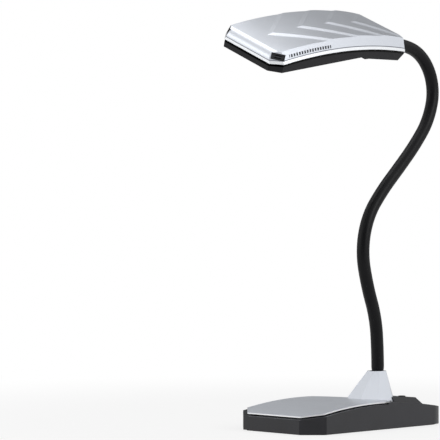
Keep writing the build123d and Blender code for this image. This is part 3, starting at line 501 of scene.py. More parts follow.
# %% [markdown]
# The shell, and the plate and the pad under it, get tighter rear corners than the construction model has. The
# corner's middle moves out and its radius shrinks by as much, so the sides stay where they are. Points of the roof
# stay on the arch.

# %% Tighter rear corners
CORNER_ROUND = 30.0
TIGHTER_BY = 8.0
RIM_REGION = 0.8
ROOF_REACH = 6.0
TOLERANCE = 0.01


def tighter(points):
    """Rear corners drawn out: a point of the rim keeps its bearing from the corner's middle, which moves out."""
    x, y, z = points.T / MM
    from_x = np.abs(x) - (base_high[0] - CORNER_ROUND)
    from_y = y - (base_high[1] - CORNER_ROUND)
    radius = np.hypot(from_x, from_y)
    rim = (from_x >= -TOLERANCE) & (from_y >= -TOLERANCE) & (radius > RIM_REGION * CORNER_ROUND)
    shift = np.where(rim, TIGHTER_BY, 0.0)
    new_x = x + np.sign(x) * shift * (1 - from_x / radius)
    new_y = y + shift * (1 - from_y / radius)
    on_roof = z > crown_at(y) - ROOF_REACH
    return np.stack([new_x, new_y, z + on_roof * (crown_at(new_y) - crown_at(y))], axis=1) * MM


soften("base_shell", "base", 1.5, reshape=tighter)
soften("base_pad", "base", 0.2, reshape=tighter)
soften("base_plate", "base", 0.2, reshape=tighter)

# %% [markdown]
# ## The base's silver cover
# The silver cover is a thin arched plate that lies on the black shell a few millimetres inside its outline, so a dark
# ledge shows all round it, and a little above the shell, so a dark gap shows under it. The plate's edge gets a
# painted highlight, paler than its top. The mask for it is how far a point lies below the arch, so the node tree
# works out the circle as the formula above does.

# %% Painted highlight on the rim of the cover
COVER_LIFT = 1.2
RIM_BELOW = (0.3, 0.7)
# Colour of the painted highlight on the rim.
RIM_HIGHLIGHT = (0.95, 0.96, 0.98)
TOP_METALLIC, RIM_METALLIC = 0.4, 0.9
grained, flake_colour = silver("silver_grained", shade=1.1, grain=2500.0, depth=0.00012, roughness=0.38,
                               metallic=TOP_METALLIC)
arch_reach = grained.along((0.0, 1.0, 0.0)) / MM + CROWN_AHEAD
arch = (crown_radius**2 - arch_reach * arch_reach).root() + (crown_height + COVER_LIFT - crown_radius)
# The rim gets a painted highlight: a paler colour and a higher Metallic than the top, where this mask is 1.
rim_highlight_share = (arch - grained.along((0.0, 0.0, 1.0)) / MM).step(*RIM_BELOW)
grained.paint(Base_Color=grained.blend(rim_highlight_share, flake_colour, RIM_HIGHLIGHT),
              Metallic=TOP_METALLIC + rim_highlight_share * (RIM_METALLIC - TOP_METALLIC))
print("rim from", RIM_BELOW[0], "mm below the arch")

# %% [markdown]
# The construction plate reaches the shell's outline, so its copy is drawn in: points on the sides move straight in,
# points at the front move back, and points on the cut corners slide along to the corner of the smaller outline. A
# point that moves back climbs the arch by as much as the arch rises there.

# %% Cover drawn in
COVER_INSET = 4.5
CORNER_CUT = 20.0


def drawn_in(points):
    """The plate's points moved in from its outline, and up or down to stay on the arch."""
    x, y, z = points.T / MM
    new_x = np.clip(x, base_low[0] + COVER_INSET, base_high[0] - COVER_INSET)
    new_y = np.maximum(y, base_low[1] + COVER_INSET)
    most = base_high[0] - base_low[1] - CORNER_CUT - COVER_INSET * sqrt(2)
    excess = np.maximum(np.abs(new_x) - new_y - most, 0.0)
    front = y < base_low[1] + CORNER_CUT / 2
    new_x -= np.sign(new_x) * excess * front
    new_y += excess * ~front
    return np.stack([new_x, new_y, z + COVER_LIFT + crown_at(new_y) - crown_at(y)], axis=1) * MM


soften("base_cover", "base", 0.6, reshape=drawn_in, look="silver_grained")

# %% [markdown]
# ## Collar
# The collar is fuller than its construction solid, above all in front, where its lip stands clear of the neck. Each
# point is moved out from the neck's axis by a share that depends on its height.

# %% Fuller collar
SIDE_GROWTH = 0.09
FRONT_LIP_GROWTH = 0.40
FRONT_FOOT_GROWTH = 0.30
collar_low, collar_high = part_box("collar")


def fuller(points):
    """Scale x, and y in front of the neck's axis, by shares that depend on the height."""
    x, y, z = points.T
    share = (collar_high[2] - z) / (collar_high[2] - collar_low[2])
    ahead = np.where(y < 0, FRONT_LIP_GROWTH + share * (FRONT_FOOT_GROWTH - FRONT_LIP_GROWTH), 0.0)
    return np.stack([x * (1 + share * SIDE_GROWTH), y * (1 + ahead), z], axis=1)


soften("collar", "base", 0.9, reshape=fuller)

# %% [markdown]
# The hood behind the collar flares towards its foot. Its copy gets a wider and longer foot in the same way.

# %% Flared hood
HOOD_FLARE = (0.17, 0.09)
hood_low, hood_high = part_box("rear_hood")


def flared(points):
    """Scale x and y by shares that grow from the hood's top to its foot."""
    x, y, z = points.T
    share = (hood_high[2] - z) / (hood_high[2] - hood_low[2])
    return np.stack([x * (1 + share * HOOD_FLARE[0]), y * (1 + share * HOOD_FLARE[1]), z], axis=1)


soften("rear_hood", "base", 0.6, reshape=flared)

# %% [markdown]
# ## Push buttons
# The two buttons are turned shapes: a stem, a flange that keeps them under the hood, a barrel and a dished top for
# the fingertip. One profile of radius and height is carried round the axis. The construction button gives its
# levels and radii; the dish and the rounded rim are worked out here.

# %% Dished buttons
DISH_DEPTH = 0.7
RIM_ROUND = 0.8
TURN_STEPS = 40
LEVEL_PLAY = 0.1


def turned_about(x, y, profile):
    """Point = axis + radius * (cos a, sin a) at each height of the profile, in millimetres."""
    turn = np.linspace(0, 2 * pi, TURN_STEPS, endpoint=False)
    radius, height = np.asarray(profile, float).T
    ring = np.stack([np.cos(turn), np.sin(turn)], axis=-1)[None] * radius[:, None, None]
    heights = np.broadcast_to(height[:, None, None], ring.shape[:2] + (1,))
    return np.concatenate([ring + (x, y), heights], axis=-1) * MM


for node in ("power_button", "dimmer_button"):
    button_points = points_of(node) / MM
    axis_x, axis_y = (button_points[:, :2].min(axis=0) + button_points[:, :2].max(axis=0)) / 2
    radii = np.hypot(button_points[:, 0] - axis_x, button_points[:, 1] - axis_y)
    heights = button_points[:, 2]
    flange, foot, top = radii.max(), heights.min(), heights.max()
    flange_low, flange_high = heights[radii > flange - LEVEL_PLAY].min(), heights[radii > flange - LEVEL_PLAY].max()
    barrel = radii[heights > flange_high + LEVEL_PLAY].max()
    stem = radii[heights < foot + LEVEL_PLAY].max()
    swing = np.linspace(0, pi / 2, 6)
    rim = np.stack([barrel - RIM_ROUND * (1 - np.cos(swing)), top - RIM_ROUND * (1 - np.sin(swing))], axis=1)
    dish_radius = np.linspace(barrel - RIM_ROUND, 0, 8)[1:]
    dish = np.stack([dish_radius, top - DISH_DEPTH * (1 - (dish_radius / (barrel - RIM_ROUND)) ** 2)], axis=1)
    lower = [(0, foot), (stem, foot), (stem, flange_low), (flange, flange_low), (flange, flange_high),
             (barrel, flange_high)]
    button = skin(node + "_dished", [turned_about(axis_x, axis_y, [*lower, *rim, *dish])], slot_of[node],
                  close_columns=True)
    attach(button, node)
    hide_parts(node)
print("buttons", round(2 * barrel, 1), "mm across")

# %% [markdown]
# ## The head's stepped cover
# The cover's top is an arch along the head that rises in chevron steps, each with a sloped riser that catches the
# light. Its flanks lean in from an arched lower edge, its front corners are cut off, and its nose is rounded. All
# of that is one height and one half width as functions of the place, so the skin is computed, not sculpted. Behind
# the nose the grid's rows run along the chevrons' arms, so that every crease lies on a row and stays crisp.

# %% Shape of the cover
NOSE_HALF = 32.7
CORNER_LENGTH = 15.6
CORNER_LEAN = 0.3
SIDE_LEAN = 0.53
NOSE_ROUND = 7.5
ARCH_HEIGHTS = (12.0, 20.6, 9.6)
STEP_COUNT = 4
STEP_RISE = 1.2
STEP_SLOPE = 4.5
FIRST_STEP = 25.5
STEP_PITCH = 43.0
STEP_SWEEP = 1.42
corner_run = sqrt(CORNER_LENGTH**2 - (HEAD_HALF - NOSE_HALF) ** 2)
arm_stretch = sqrt(1 + STEP_SWEEP**2)
step_places = FIRST_STEP - HEAD_LENGTH + STEP_PITCH * np.arange(STEP_COUNT)


def edge_at(y):
    """Height of the arched lower edge: a parabola that is 0 at both ends of the head."""
    return EDGE_ARCH * (1 - (2 * y / HEAD_LENGTH + 1) ** 2)


def top_at(x, y):
    """Arch through three heights, less the nose's round, plus the share of each chevron step that is climbed."""
    s = y / HEAD_LENGTH + 1
    front, middle, rear = ARCH_HEIGHTS
    height = front * (1 - s) * (1 - 2 * s) + 4 * middle * s * (1 - s) + rear * s * (2 * s - 1)
    short = np.clip(NOSE_ROUND - (y + HEAD_LENGTH), 0, NOSE_ROUND)
    height = height - NOSE_ROUND + np.sqrt(NOSE_ROUND**2 - short**2)
    for place in step_places:
        past = (y - place - STEP_SWEEP * np.abs(x)) / arm_stretch
        height = height + STEP_RISE * np.clip(past / STEP_SLOPE, 0, 1)
    return height


def half_width(y, z):
    """The nearer of two leaning planes: the flank, and the cut front corner."""
    flank = HEAD_HALF - SIDE_LEAN * (z - edge_at(y))
    over = z - edge_at(corner_run - HEAD_LENGTH)
    across, forward = corner_run / CORNER_LENGTH, (HEAD_HALF - NOSE_HALF) / CORNER_LENGTH
    from_middle = y + HEAD_LENGTH - corner_run / 2
    corner = (HEAD_HALF + NOSE_HALF) / 2 + (forward * from_middle - CORNER_LEAN * over) / across
    return np.minimum(flank, corner)


print("chevrons at", np.round(step_places + HEAD_LENGTH), "mm behind the nose")

# %% [markdown]
# The places where top and flank meet aren't known beforehand, because each depends on the other. Starting from a
# guess and applying the two functions in turn settles within a few rounds: every point of a row keeps its share of
# the half width while its place along the head follows its arm.

# %% Grids of the cover
SPLIT = 4.5
NOSE_STEP, ARM_STEP = 0.5, 2.5
ARM_REACH = 62
SETTLING_ROUNDS = 40
FIRST_GUESS = 0.8
LAST_SHARE = 0.999
shares = np.linspace(-1, 1, 61)
rises = np.linspace(0, 1, 15)
swing = np.linspace(0, pi / 2, 10)
straight_rows = np.arange(NOSE_ROUND + NOSE_STEP, corner_run + SPLIT, NOSE_STEP)
nose_rows = np.concatenate([NOSE_ROUND * (1 - np.cos(swing)), straight_rows]) - HEAD_LENGTH
split_y = nose_rows[-1]
creases = np.concatenate([step_places, step_places + STEP_SLOPE * arm_stretch])
arm_rows = np.unique(np.round(np.concatenate([np.arange(split_y - ARM_REACH, 0, ARM_STEP), creases, [0.0]]), 3))


def settled(rows, sweep):
    """Points (rows, shares, 3) of the top, where x = share * half width and y = row + sweep * |x|, kept in reach."""
    row, share = np.meshgrid(rows, shares, indexing="ij")
    half = np.full(row.shape, FIRST_GUESS * HEAD_HALF)
    low_y, high_y = (rows[0], rows[-1]) if sweep == 0 else (split_y, 0.0)
    for _ in range(SETTLING_ROUNDS):
        crest_y = np.clip(row + sweep * half, low_y, high_y)
        half_crest = half_width(crest_y, top_at(half, crest_y))
        y = np.clip(row + sweep * np.abs(share) * half, low_y, high_y)
        half_here = half_width(y, top_at(half, y))
        half = 0.5 * half + 0.5 * np.where(np.abs(share) > LAST_SHARE, half_crest, half_here)
    x = share * half
    return np.stack([x, y, top_at(x, y)], axis=-1)


def flank_below(crest, side):
    """From each crest point down to the lower edge: z by shares of the height, x from the leaning planes."""
    y = np.broadcast_to(crest[:, None, 1], (len(crest), len(rises)))
    z = edge_at(y) + rises * (crest[:, None, 2] - edge_at(y))
    return np.stack([side * half_width(y, z), y, z], axis=-1)


nose_top, arm_top = settled(nose_rows, 0.0), settled(arm_rows, STEP_SWEEP)
flanks = [flank_below(top[:, column], side) for top in (nose_top, arm_top) for column, side in ((0, -1), (-1, 1))]


def end_face(crest, y):
    """Upright face under a row of the top: z by shares of each point's height, x shrinking with the flanks."""
    z = rises[:, None] * crest[None, :, 2]
    x = np.where(rises[:, None] > LAST_SHARE, crest[None, :, 0], shares * half_width(y, rises * crest[0, 2])[:, None])
    return np.stack([x, np.full_like(x, y), z], axis=-1)


faces = [end_face(nose_top[0], -HEAD_LENGTH), end_face(arm_top[-1], 0.0)]
cover_patches = [from_head(patch) for patch in (nose_top, arm_top, *flanks, *faces)]
print(sum(patch.shape[0] * patch.shape[1] for patch in cover_patches), "points")

# %% [markdown]
# ## Vents and side grilles
# A dark vent sits in each front corner, and a toothed grille runs back from it along each flank. Both lie in
# pockets, so the cover needs holes of their shape. A cutter is made for each with the same functions that make the
# parts in it, a little larger, and a Boolean takes it away. The cutters are bars: one outline of four corners,
# carried through a row of sections and closed to a point at both ends.

# %% Bars on the flanks and blocks in the corners
GRILLE_START = 20.0
GRILLE_LENGTH = 62.0
GRILLE_RISE = 6.0
GRILLE_HEIGHT = 2.7
GRILLE_DEPTH = 1.4
GRILLE_TEETH = 16
VENT_RISE = 6.6
VENT_SIZE = (14.6, 6.8)
VENT_DEPTH = 2.2
POCKET_PLAY = 0.08
BAR_STEP = 3.0
flank_stretch = sqrt(1 + SIDE_LEAN**2)


def capped(sections):
    """Sections (rows, 4, 3) with their middles added before and after, so that sewing closes both ends."""
    ends = [np.repeat(sections[row].mean(axis=0)[None], 4, axis=0)[None] for row in (0, -1)]
    return np.concatenate([ends[0], sections, ends[1]])


def flank_bar(side, start, end, low_rise, high_rise, outer, inner):
    """Bar on a flank from start to end behind the nose, between two rises and two depths below the skin."""
    y = np.linspace(start, end, max(2, int((end - start) / BAR_STEP))) - HEAD_LENGTH
    rise = np.array([low_rise, high_rise, high_rise, low_rise])
    depth = np.array([outer, outer, inner, inner])
    z = edge_at(y)[:, None] + rise - SIDE_LEAN * depth / flank_stretch
    x = np.broadcast_to(HEAD_HALF - SIDE_LEAN * rise - depth / flank_stretch, z.shape)
    return from_head(capped(np.stack([side * x, np.broadcast_to(y[:, None], z.shape), z], axis=-1)))


def corner_block(side, centre, size, outer, inner):
    """Block on a front corner: centre and size along the corner's edge and up it, between two depths."""
    along = np.array([HEAD_HALF - NOSE_HALF, corner_run, 0.0]) / CORNER_LENGTH
    outward = unit([corner_run, NOSE_HALF - HEAD_HALF, CORNER_LEAN * CORNER_LENGTH])
    up = np.cross(outward, along)
    middle = np.array([(HEAD_HALF + NOSE_HALF) / 2, corner_run / 2 - HEAD_LENGTH, edge_at(corner_run - HEAD_LENGTH)])
    corners = np.array([(-1, -1), (1, -1), (1, 1), (-1, 1)]) / 2 * size + centre
    rim = middle + corners[:, :1] * along + corners[:, 1:] * up
    block = capped(np.stack([rim - outer * outward, rim - inner * outward]))
    return from_head(block * (side, 1.0, 1.0))


def play(low_value, high_value, amount):
    """A range widened by an amount at both ends."""
    return low_value - amount, high_value + amount


grille_low, grille_high = GRILLE_RISE - GRILLE_HEIGHT / 2, GRILLE_RISE + GRILLE_HEIGHT / 2
cutters = []
for side in (-1, 1):
    start, end = play(GRILLE_START, GRILLE_START + GRILLE_LENGTH, POCKET_PLAY)
    cutters.append(flank_bar(side, start, end, *play(grille_low, grille_high, POCKET_PLAY), -1.0, GRILLE_DEPTH))
    vent_room = tuple(length + 2 * POCKET_PLAY for length in VENT_SIZE)
    cutters.append(corner_block(side, (0.0, VENT_RISE), vent_room, -2.0, VENT_DEPTH))
print(len(cutters), "pockets")

# %% [markdown]
# The skin becomes a shell with Solidify, which adds an inner skin and a rim. The grilles' pockets are shallower than
# the wall is thick, and the corners' pockets go through it. The modifiers are applied at once, so that only the
# bevel of the edges and the weighting of the normals stay live.

# %% Cover shell with its pockets
COVER_WALL = 2.0
cover = skin("head_cover_stepped", cover_patches, "silver_plastic", look="silver_painted_lip_and_groove")
wall = cover.modifiers.new("wall", "SOLIDIFY")
wall.thickness, wall.offset = COVER_WALL * MM, -1.0
wall.use_even_offset = True
knives = []
for number, grid in enumerate(cutters):
    knife = skin(f"knife_{number}", [grid], "silver_plastic", close_columns=True)
    cut = cover.modifiers.new(f"pocket {number}", "BOOLEAN")
    cut.operation, cut.solver, cut.object = "DIFFERENCE", "EXACT", knife
    knives.append(knife)
evaluated = cover.evaluated_get(bpy.context.evaluated_depsgraph_get())
carved = bpy.data.meshes.new_from_object(evaluated)
cover.modifiers.clear()
cover.data = carved
for knife in knives:
    bpy.data.objects.remove(knife)
carved.polygons.foreach_set("use_smooth", np.ones(len(carved.polygons), bool))
carved.set_sharp_from_angle(angle=radians(SMOOTH_TURN))
round_edges(cover, 0.35)
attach(cover, "head")
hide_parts("head_cover")
print("cover", len(carved.polygons), "faces")

# %% [markdown]
# Each vent is a dark tray with a level bar across its middle. Each grille is a dark strip with silver teeth before
# it, so that dark gaps show. Teeth and strip are the same kind of bar, short and long.

# %% Vent trays and toothed grilles
VENT_BAR = 1.5
VENT_FRAME = 0.9
TRAY_DEPTH = 1.7
BAR_DEPTH, STRIP_DEPTH = 0.3, 0.9
TOOTH_DEPTHS = (0.1, 0.95)
TOOTH_SHARE = 0.4
vent_width, vent_height = VENT_SIZE
vent_patches, grille_patches, tooth_patches = [], [], []
tooth_pitch = GRILLE_LENGTH / GRILLE_TEETH
for side in (-1, 1):
    vent_patches.append(corner_block(side, (0.0, VENT_RISE), VENT_SIZE, TRAY_DEPTH, VENT_DEPTH))
    vent_patches.append(corner_block(side, (0.0, VENT_RISE), (vent_width, VENT_BAR), BAR_DEPTH, TRAY_DEPTH))
    for end in (-1, 1):
        upright = (end * (vent_width - VENT_FRAME) / 2, VENT_RISE)
        vent_patches.append(corner_block(side, upright, (VENT_FRAME, vent_height), TOOTH_DEPTHS[0], TRAY_DEPTH))
    grille_patches.append(flank_bar(side, GRILLE_START, GRILLE_START + GRILLE_LENGTH, grille_low, grille_high,
                                    STRIP_DEPTH, GRILLE_DEPTH))
    for tooth in range(GRILLE_TEETH):
        place = GRILLE_START + (tooth + 0.25) * tooth_pitch
        tooth_end = place + tooth_pitch * TOOTH_SHARE
        tooth_patches.append(flank_bar(side, place, tooth_end, grille_low, grille_high, *TOOTH_DEPTHS))
vents = skin("vent_trays", vent_patches, slot_of["corner_vents"], close_columns=True)
grilles = skin("toothed_grilles", grille_patches, slot_of["side_grilles"], close_columns=True)
teeth = skin("grille_teeth", tooth_patches, "silver_plastic", close_columns=True)
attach(teeth, "head")
for piece, node in ((vents, "corner_vents"), (grilles, "side_grilles")):
    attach(piece, "head")
    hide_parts(node)
print(len(vent_patches), "vent bars and", len(tooth_patches), "teeth")

# %% [markdown]
# ## Housing and light
# The black housing hangs under the cover and is deepest at the nose, a little deeper than its construction solid.
# The light panel lies in its floor and goes down with it. Just under the cover runs a band of painted shadow, where a
# recess under the cover's edge would be dark. It is picked out by the height below the arched edge: a metal that is
# black mirrors next to nothing, so the mask takes the colour to black and Metallic to 1. The knuckle block is made
# less deep, and its front lower edge moves back.

# %% Housing plastic with its painted shadow line
SHADOW_LINE = 2.6
LINE_FADE = 0.4
HOUSING_BLACK = (0.007, 0.007, 0.009)
HOUSING_SHEEN = 0.20
housing_paint = moulded("housing_plastic", (0.005, 0.005, 0.007), (0.009, 0.009, 0.012), 0.40, depth=0.00008,
                        Specular_IOR_Level=HOUSING_SHEEN)
in_shadow_band = above_edge(housing_paint).step(-SHADOW_LINE - LINE_FADE, -SHADOW_LINE)
# Painted shadow: the band under the cover goes to black and to Metallic 1, so it mirrors next to nothing.
housing_paint.paint(Metallic=in_shadow_band, Base_Color=housing_paint.blend(in_shadow_band, HOUSING_BLACK, (0.0, 0.0, 0.0)))
print("shadow line", SHADOW_LINE, "mm high")

# %% Housing, panel and knuckle
DEEPER_NOSE = 1.8
PANEL_END = 68.0
KNUCKLE_HALF = 16.5
KNUCKLE_FROM = 10.5
KNUCKLE_SHARE = 0.72
KNUCKLE_FRONT = -30.0
KNUCKLE_BACK = 6.0


def deeper(points):
    """Points below the cover's edge sink by a share that grows from the panel's end to the nose."""
    placed = to_head(points)
    share = np.clip((-PANEL_END - placed[:, 1]) / (HEAD_LENGTH - PANEL_END), 0, 1)
    placed[:, 2] -= DEEPER_NOSE * share * np.clip(-placed[:, 2] / DEEPER_NOSE, 0, 1)
    return from_head(placed)


def compact(points):
    """Points of the knuckle block rise towards the deck, and its front lower edge moves back."""
    placed = to_head(points)
    below = (placed[:, 2] < -KNUCKLE_FROM) & (np.abs(placed[:, 0]) < KNUCKLE_HALF)
    placed[below, 2] = -KNUCKLE_FROM + (placed[below, 2] + KNUCKLE_FROM) * KNUCKLE_SHARE
    placed[below & (placed[:, 1] < KNUCKLE_FRONT), 1] += KNUCKLE_BACK
    return from_head(placed)


soften("head_housing", "head", 0.35, reshape=lambda points: compact(deeper(points)), look="housing_plastic")
soften("light_panel", "head", 0.2, reshape=deeper)
soften("knuckle_arm", "arm", 0.5, reshape=compact)

# %% [markdown]
# ## Lens domes
# The white panel has a low dome over each light chip, which spreads its light. A dome is a cap: its height falls
# off with the square of the distance from its middle. All of them are one piece, sunk a little into the panel. The
# panel's face runs from its lowest point in front to its lowest point at the rear.

# %% Face of the panel
NEAR_END = 2.0
panel_points = to_head(deeper(points_of("light_panel")))
front_points = panel_points[panel_points[:, 1] < panel_points[:, 1].min() + NEAR_END]
rear_points = panel_points[panel_points[:, 1] > panel_points[:, 1].max() - NEAR_END]
front_low = front_points[front_points[:, 2].argmin()]
rear_low = rear_points[rear_points[:, 2].argmin()]
panel_along = unit([0.0, rear_low[1] - front_low[1], rear_low[2] - front_low[2]])
panel_down = np.cross(panel_along, [1.0, 0.0, 0.0])
panel_down *= -np.sign(panel_down[2])
panel_width = 2 * np.abs(front_low[0])
panel_length = rear_low[1] - front_low[1]
print("panel", round(panel_width), "by", round(panel_length), "mm")

# %% Domes under the panel
DOME_COLUMNS, DOME_ROWS = 6, 9
DOME_RADIUS, DOME_HEIGHT = 4.4, 1.2
DOME_SEAT = 0.1
DOME_RINGS, DOME_AROUND = 6, 20
ring_radius = DOME_RADIUS * np.linspace(1, 0, DOME_RINGS)[:, None]
turn = np.linspace(0, 2 * pi, DOME_AROUND, endpoint=False)[None, :]
cap_height = DOME_HEIGHT * (1 - (ring_radius / DOME_RADIUS) ** 2) - DOME_SEAT + 0 * turn
flat_height = -DOME_SEAT + 0 * turn
rings = np.stack([ring_radius * np.cos(turn), ring_radius * np.sin(turn)], axis=-1)
cap = np.concatenate([rings, cap_height[..., None]], axis=-1)
back = np.concatenate([rings[-1:], flat_height[..., None]], axis=-1)
dome = np.concatenate([back, cap])
panel_axes = np.stack([[1.0, 0.0, 0.0], panel_along, panel_down])
dome_patches = []
for column in range(DOME_COLUMNS):
    for row in range(DOME_ROWS):
        x = (column - (DOME_COLUMNS - 1) / 2) * panel_width / (DOME_COLUMNS + 1)
        along = (row + 1) * panel_length / (DOME_ROWS + 1)
        middle = np.array([0.0, front_low[1], front_low[2]]) + np.array([x, 0.0, 0.0]) + along * panel_along
        dome_patches.append(from_head(middle + dome @ panel_axes))
domes = skin("lens_domes", dome_patches, slot_of["light_panel"], close_columns=True)
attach(domes, "head")
print(len(dome_patches), "domes")

# %% [markdown]
# ## The neck's line
# The neck bends over ball joints, and between two joints it is one arc. An arc that leaves a point in a known
# direction and reaches a second point is settled: the chord lies halfway between its first and last direction.
# So the whole line follows from the joints' places, the collar's top and the first direction, straight up.

# %% Neck line
neck_joints = sorted((j for n, j in joints.items() if "bend" in n), key=lambda j: int(j["name"].split("_")[-1]))
ARM_AHEAD = 8.0 * MM
arm_back = unit(swivel["axis"])
neck_end = np.array(swivel["pos_m"]) + ARM_AHEAD * arm_back
collar_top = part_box("collar")[1][2]
stations = np.array([(0.0, 0.0, collar_top)] + [j["pos_m"] for j in neck_joints] + [tuple(neck_end)])[:, 1:]
chords = np.diff(stations, axis=0)
chord_angles = np.arctan2(chords[:, 1], chords[:, 0])
headings = [pi / 2]
for chord_angle in chord_angles:
    headings.append(2 * chord_angle - headings[-1])
turns = np.diff(headings)
half_turns = turns / 2
link_lengths = np.linalg.norm(chords, axis=1) * half_turns / np.sin(half_turns)
lengths = np.concatenate([[0.0], np.cumsum(link_lengths)])
print("neck", round(lengths[-1] / MM), "mm in", len(chords), "arcs")


def neck_line(s):
    """Points and directions at lengths s: the arc's chord from its first station, or a straight run past an end."""
    s = np.asarray(s, float)
    link = np.clip(np.searchsorted(lengths, s, side="right") - 1, 0, len(chords) - 1)
    along = np.clip(s - lengths[link], 0.0, link_lengths[link])
    half = half_turns[link] * along / link_lengths[link]
    chord = along * np.sinc(half / pi)
    angle = np.array(headings)[link] + half
    beyond = s - lengths[link] - along
    heading = np.array(headings)[link] + 2 * half
    y = stations[link, 0] + chord * np.cos(angle) + beyond * np.cos(heading)
    z = stations[link, 1] + chord * np.sin(angle) + beyond * np.sin(heading)
    return np.stack([0 * y, y, z], -1), np.stack([0 * y, np.cos(heading), np.sin(heading)], -1)


# %% [markdown]
# ## Rubber sleeve
# The sleeve is one smooth tube of rubber over the whole neck. Here it is cut where the links' middles are, so that
# each length crosses one joint. Every length is a tube with a wall: its profile runs out along the outer skin and
# back along the inner one, carried round the neck's line.

# %% Sleeve lengths
SLEEVE_SWELL = 0.5 * MM
SLEEVE_WALL = 1.5 * MM
SLEEVE_ENTRY = 3.0 * MM
SWELL_RUN = 4.0 * MM
RING_STEP = 1.0 * MM
AROUND = 48
sleeve_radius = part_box("neck_sleeve_05")[1][0]
across = np.array([1.0, 0.0, 0.0])
angles = np.linspace(0, 2 * pi, AROUND, endpoint=False)
middles = (lengths[:-1] + lengths[1:]) / 2


def sleeve_length(name, start, end):
    """Point = line(s) + radius * (cos a * across + sin a * up): s runs out at one radius and back at the other."""
    out = np.linspace(start, end, int((end - start) / RING_STEP) + 1)
    s = np.concatenate([out, out[::-1], out[:1]])
    from_end = np.clip(np.minimum(out, lengths[-1] - out) / SWELL_RUN, 0, 1)
    outside = sleeve_radius + SLEEVE_SWELL * from_end * from_end * (3 - 2 * from_end)
    inside = np.full(len(out), sleeve_radius - SLEEVE_WALL)
    radius = np.concatenate([outside, inside, outside[:1]])
    centre, direction = neck_line(s)
    up = np.cross(direction, across)
    ring = np.cos(angles)[None, :, None] * across + np.sin(angles)[None, :, None] * up[:, None, :]
    return skin(name, [centre[:, None, :] + radius[:, None, None] * ring], "sleeve_rubber", close_columns=True)


for number, joint in enumerate(neck_joints, 1):
    start = -SLEEVE_ENTRY if number == 1 else middles[number - 1]
    end = lengths[-1] + SLEEVE_ENTRY if number == len(neck_joints) else middles[number]
    node = f"neck_sleeve_{number:02d}"
    sleeve = sleeve_length(f"rubber_sleeve_{number:02d}", start, end)
    bend_from, bend_to = neck_line(middles[number - 1])[0], neck_line(middles[number])[0]
    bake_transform(sleeve)
    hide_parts(node)
print(len(neck_joints), "sleeve lengths")

# %% [markdown]
# ## Studio
# A pale floor, soft lamps above and beside the lamp, and an even sky. Where the camera, a mirror-like surface or
# glass looks past the lamp it sees white. Photographers hang grey cloths beside a shiny thing, so that its arched
# and cut faces have something dark to mirror: here the sky is dimmer on the front right side and low behind the
# lamp, and so is the floor behind it. The camera's own rays see plain white all the same.

# %% Floor
FLOOR_REACH = 12.0
FLOOR_GLOW = 0.78
FLOOR_FADE = (0.30, 0.90)
FLOOR_CLOTH, FLOOR_CLOTH_DIMS = (0.20, 1.2), 0.75
floor_mesh = bpy.data.meshes.new("floor")
floor_mesh.from_pydata([(x * FLOOR_REACH, y * FLOOR_REACH, 0.0) for x, y in ((-1, -1), (1, -1), (1, 1), (-1, 1))], [],
                       [(0, 1, 2, 3)])
floor = bpy.data.objects.new("floor", floor_mesh)
bpy.context.collection.objects.link(floor)
paper = Look("studio_paper", Base_Color=(0.92, 0.92, 0.92), Roughness=0.9)
seen = paper.ray("Is Camera Ray").most(paper.ray("Is Glossy Ray")).most(paper.ray("Is Transmission Ray"))
distance = paper.node("ShaderNodeVectorMath", {"operation": "LENGTH"}, {0: paper.place}, "Value")
sight = paper.along(unit((-0.66, 0.75, 0.0)))
cloth = sight.step(*FLOOR_CLOTH) * FLOOR_CLOTH_DIMS * (1.0 - paper.ray("Is Camera Ray"))
glow_share = seen * (FLOOR_GLOW + (1.0 - FLOOR_GLOW) * distance.step(*FLOOR_FADE)) * (1.0 - cloth)
glow = paper.node("ShaderNodeEmission", {}, {"Color": (1.0, 1.0, 1.0), "Strength": 1.0})
mixer = paper.tree.nodes.new("ShaderNodeMixShader")
paper.feed(mixer.inputs[0], glow_share)
paper.tree.links.new(paper.shader.outputs[0], mixer.inputs[1])
paper.feed(mixer.inputs[2], glow)
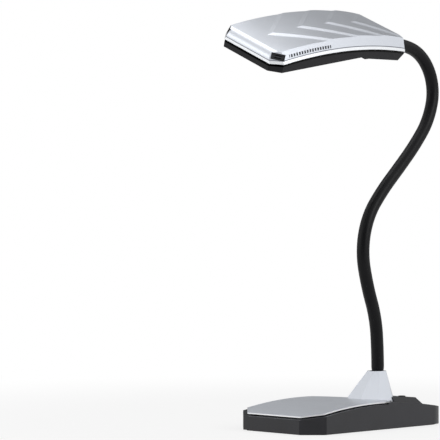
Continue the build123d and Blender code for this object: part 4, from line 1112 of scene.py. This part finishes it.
output = next(n for n in paper.tree.nodes if n.type == "OUTPUT_MATERIAL")
paper.tree.links.new(mixer.outputs[0], output.inputs[0])
floor_mesh.materials.append(paper.material)
print("floor glows", FLOOR_GLOW, "near the lamp and fades to white")


# %% Lamps
def soft_lamp(name, place, aim, size, power):
    """A square area lamp of a size in metres, at a place, facing a point."""
    data = bpy.data.lights.new(name, "AREA")
    data.size, data.energy = size, power
    lamp = bpy.data.objects.new(name, data)
    lamp.location = place
    direction = unit(np.subtract(aim, place))
    lamp.rotation_euler = (np.arccos(-direction[2]), 0.0, np.arctan2(direction[1], direction[0]) - pi / 2)
    bpy.context.collection.objects.link(lamp)


LIT_POINT = (0.0, -0.05, 0.25)
soft_lamp("overhead", (-0.25, -0.10, 1.7), LIT_POINT, 0.9, 4.5)
soft_lamp("right", (1.6, 0.3, 0.9), LIT_POINT, 0.8, 8.0)
soft_lamp("left", (-0.9, -1.6, 0.8), LIT_POINT, 0.9, 3.5)
print("three lamps")

# %% Sky
SKY_LIGHT = 0.55
SIDE_CLOTH, SIDE_CLOTH_DIMS = (0.65, 0.95), 0.92
LOW_CLOTH, LOW_CLOTH_DIMS = (0.55, 0.95), 0.80
world = bpy.data.worlds.new("studio_sky")
bpy.context.scene.world = world
world.use_nodes = True
sky = Graph(world.node_tree, "Generated")
background = next(n for n in sky.tree.nodes if n.type == "BACKGROUND")
camera_ray = sky.ray("Is Camera Ray")
sky_seen = camera_ray.most(sky.ray("Is Glossy Ray")).most(sky.ray("Is Transmission Ray"))
side_cloth = sky.along(unit((0.66, -0.75, 0.0))).step(*SIDE_CLOTH) * SIDE_CLOTH_DIMS
low_cloth = sky.along(unit((-0.60, 0.75, 0.30))).step(*LOW_CLOTH) * LOW_CLOTH_DIMS
cloths = 1.0 - (1.0 - camera_ray) * side_cloth.most(low_cloth)
sky.feed(background.inputs["Strength"], (SKY_LIGHT + sky_seen * (1.0 - SKY_LIGHT)) * cloths)
background.inputs["Color"].default_value = (1.0, 1.0, 1.0, 1.0)
print("sky set")
